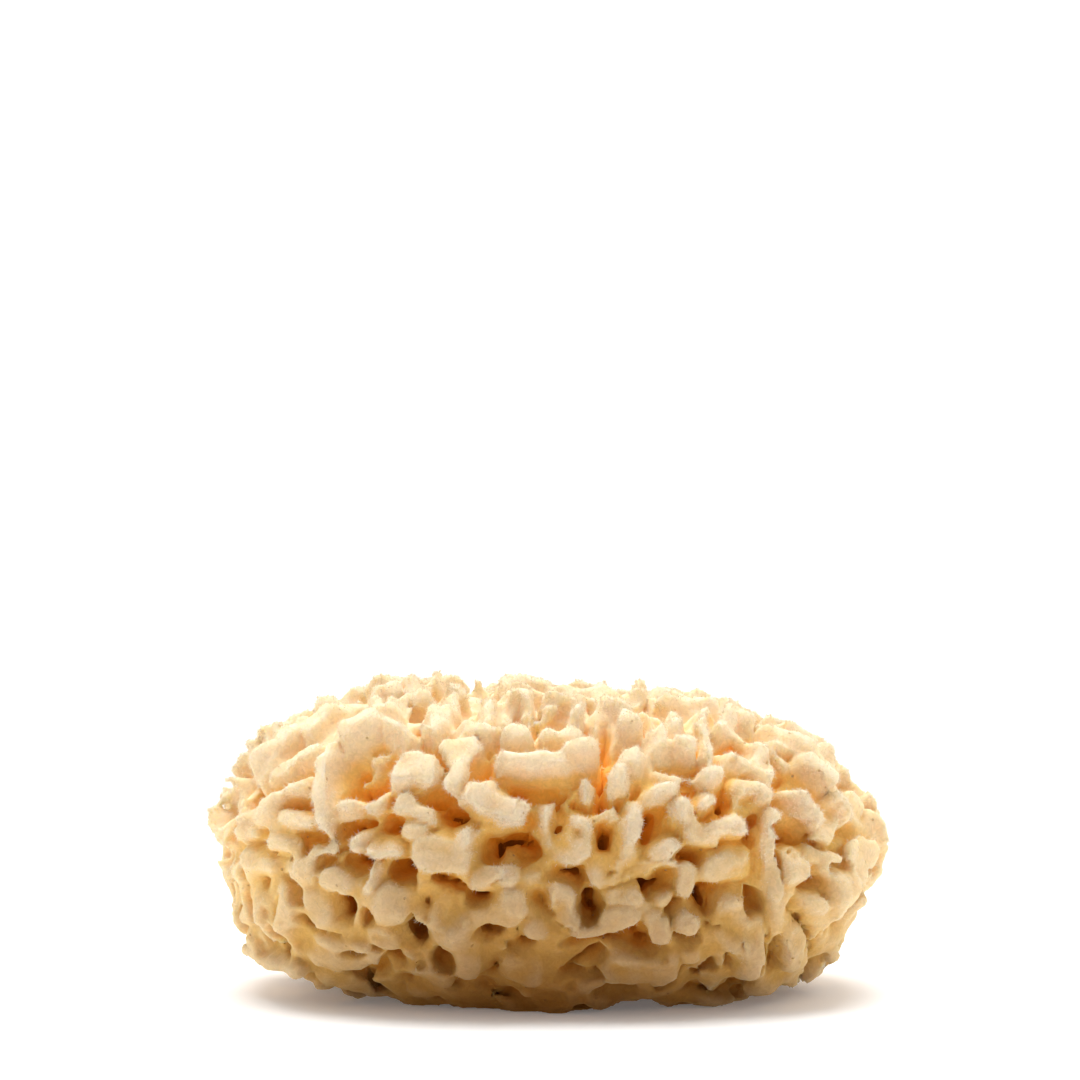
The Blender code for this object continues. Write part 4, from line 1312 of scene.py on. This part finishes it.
@dataclass
class Fuzz:
    """Short fibres that stand out of the sponge's crests."""

    name: str
    count: int = 180_000
    least_openness: float = 0.5
    lengths: tuple[float, float] = (0.35 * MM, 1.0 * MM)
    width: float = 0.09 * MM
    lean: float = 0.8
    scatter: float = 0.2 * MM
    sunk: float = 0.15 * MM
    crest_bias: float = 1.5
    full_height: float = 38 * MM
    least_share: float = 0.05
    lowest: float = 2 * MM
    clear_of_floor: float = 0.1 * MM
    seed: int = 3

    def build(self, sponge: bpy.types.Object) -> bpy.types.Object:
        """Builds the fibres on a sponge.

        Args:
            sponge: The sponge whose crests they stand on.

        Returns:
            The fibres, joined as one piece.
        """
        mesh = sponge.data
        rng = np.random.default_rng(self.seed)
        places, normals = vertex_places(mesh), vertex_normals(mesh)
        openness, lowness = vertex_values(mesh, "openness"), vertex_values(mesh, "lowness")
        fit = np.flatnonzero((openness > self.least_openness) & (places[:, 2] > self.lowest))
        weight = (openness[fit] - self.least_openness) ** self.crest_bias
        weight = weight * np.clip(places[fit, 2] / self.full_height, self.least_share, 1) ** 2
        chosen = rng.choice(fit, self.count, p=weight / weight.sum())
        root = places[chosen] + rng.normal(size=(self.count, 3)) * self.scatter
        root -= normals[chosen] * self.sunk
        aim = normals[chosen] + self.lean * rng.normal(size=(self.count, 3))
        aim /= np.linalg.norm(aim, axis=1, keepdims=True)
        length = rng.uniform(*self.lengths, self.count)[:, None]
        side = np.cross(aim, rng.normal(size=(self.count, 3)))
        side *= self.width / 2 / np.linalg.norm(side, axis=1, keepdims=True)
        tip = root + aim * length
        vertices = np.stack([root - side, root + side, tip], 1).reshape(-1, 3)
        vertices[:, 2] = np.maximum(vertices[:, 2], self.clear_of_floor)
        faces = np.arange(3 * self.count).reshape(-1, 3)
        made = mesh_of(self.name, vertices, faces)
        Sponge.add_value(made, "lowness", np.repeat(lowness[chosen], 3))
        made.materials.append(FuzzFinish("pale fibre").material())
        fuzz = bpy.data.objects.new(self.name, made)
        bpy.context.scene.collection.objects.link(fuzz)
        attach(fuzz, "root")
        log.info("%s: %d fibres", self.name, self.count)
        return fuzz


@dataclass(frozen=True)
class Studio:
    """White floor, white surroundings and a broad light from above and a little behind."""

    eye: Eye
    floor_size: float = 40.0
    floor_glow: float = 0.1
    floor_roughness: float = 0.9
    behind: float = 1.2
    in_front: float = 0.38
    dimming: tuple[float, float] = (-0.6, 0.3)
    sun_power: float = 2.6
    sun_spread: float = math.radians(42)
    sun_from: tuple[float, float, float] = (-0.06, 0.13, 1.0)
    film_width: float = 36.0
    frame_width: float = 225.3 * MM
    object_middle: tuple[float, float] = (0.5079, 0.7611)

    def build(self) -> None:
        """Builds the surroundings, the floor, the light and the camera."""
        bpy.context.scene.view_settings.view_transform = "Standard"
        self.build_surroundings()
        self.build_floor()
        self.build_sun()
        self.build_camera()
        log.info("studio: floor, light and camera")

    def build_surroundings(self) -> None:
        """White all round, dimmer on the side that the front faces."""
        world = bpy.data.worlds.new("white_surroundings")
        world.use_nodes = True
        nodes, links = world.node_tree.nodes, world.node_tree.links
        back = nodes["Background"]
        back.inputs["Color"].default_value = Tone.LIGHT.rgba
        places = nodes.new("ShaderNodeTexCoord")
        parts = nodes.new("ShaderNodeSeparateXYZ")
        dimming = nodes.new("ShaderNodeMapRange")
        dimming.interpolation_type = "SMOOTHSTEP"
        dimming.inputs["From Min"].default_value = self.dimming[0]
        dimming.inputs["From Max"].default_value = self.dimming[1]
        dimming.inputs["To Min"].default_value = self.in_front
        dimming.inputs["To Max"].default_value = self.behind
        links.new(places.outputs["Generated"], parts.inputs["Vector"])
        links.new(parts.outputs["Y"], dimming.inputs["Value"])
        links.new(dimming.outputs["Result"], back.inputs["Strength"])
        bpy.context.scene.world = world

    def build_floor(self) -> None:
        """A plain white floor."""
        half = self.floor_size / 2
        corners = [(-half, -half, 0), (half, -half, 0), (half, half, 0), (-half, half, 0)]
        mesh = bpy.data.meshes.new("floor")
        mesh.from_pydata(corners, [], [(0, 1, 2, 3)])
        paper = Bench("white paper", self.floor_roughness)
        paper.fill(paper.shader, {
            "Base Color": Tone.PAPER.rgba,
            "Emission Color": Tone.LIGHT.rgba,
            "Emission Strength": self.floor_glow,
        })
        mesh.materials.append(paper.material)
        floor = bpy.data.objects.new("floor", mesh)
        bpy.context.scene.collection.objects.link(floor)

    def build_sun(self) -> None:
        """The broad light from above."""
        light = bpy.data.lights.new("soft_light", "SUN")
        light.energy = self.sun_power
        light.angle = self.sun_spread
        lamp = bpy.data.objects.new("soft_light", light)
        lamp.rotation_mode = "QUATERNION"
        lamp.rotation_quaternion = (-Vector(self.sun_from)).to_track_quat("-Z", "Y")
        bpy.context.scene.collection.objects.link(lamp)

    def build_camera(self) -> None:
        """The camera, turned so that the body stands low in the picture."""
        camera = bpy.data.cameras.new("camera")
        camera.sensor_width = self.film_width
        right, up = self.object_middle
        aside = (right - 0.5) * self.frame_width
        down = (up - 0.5) * self.frame_width
        target = Vector(self.eye.middle + self.eye.up * down - np.array([aside, 0, 0]))
        place = Vector(self.eye.place)
        aim = target - place
        camera.lens = self.film_width * self.eye.distance / self.frame_width
        holder = bpy.data.objects.new("camera", camera)
        holder.location = place
        holder.rotation_mode = "QUATERNION"
        holder.rotation_quaternion = aim.to_track_quat("-Z", "Y")
        bpy.context.scene.collection.objects.link(holder)
        bpy.context.scene.camera = holder


def main() -> None:
    """Builds the sponge, its fuzz and the studio, in that order."""
    logging.basicConfig(level=logging.INFO, format="%(message)s")
    loaf, eye = Loaf(), Eye()
    cell = FINE_CELL
    sponge = Sponge(loaf, eye, cell=cell).build()
    Fuzz("crest_fuzz").build(sponge)
    Studio(eye).build()
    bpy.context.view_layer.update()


if __name__ == "__main__":
    main()
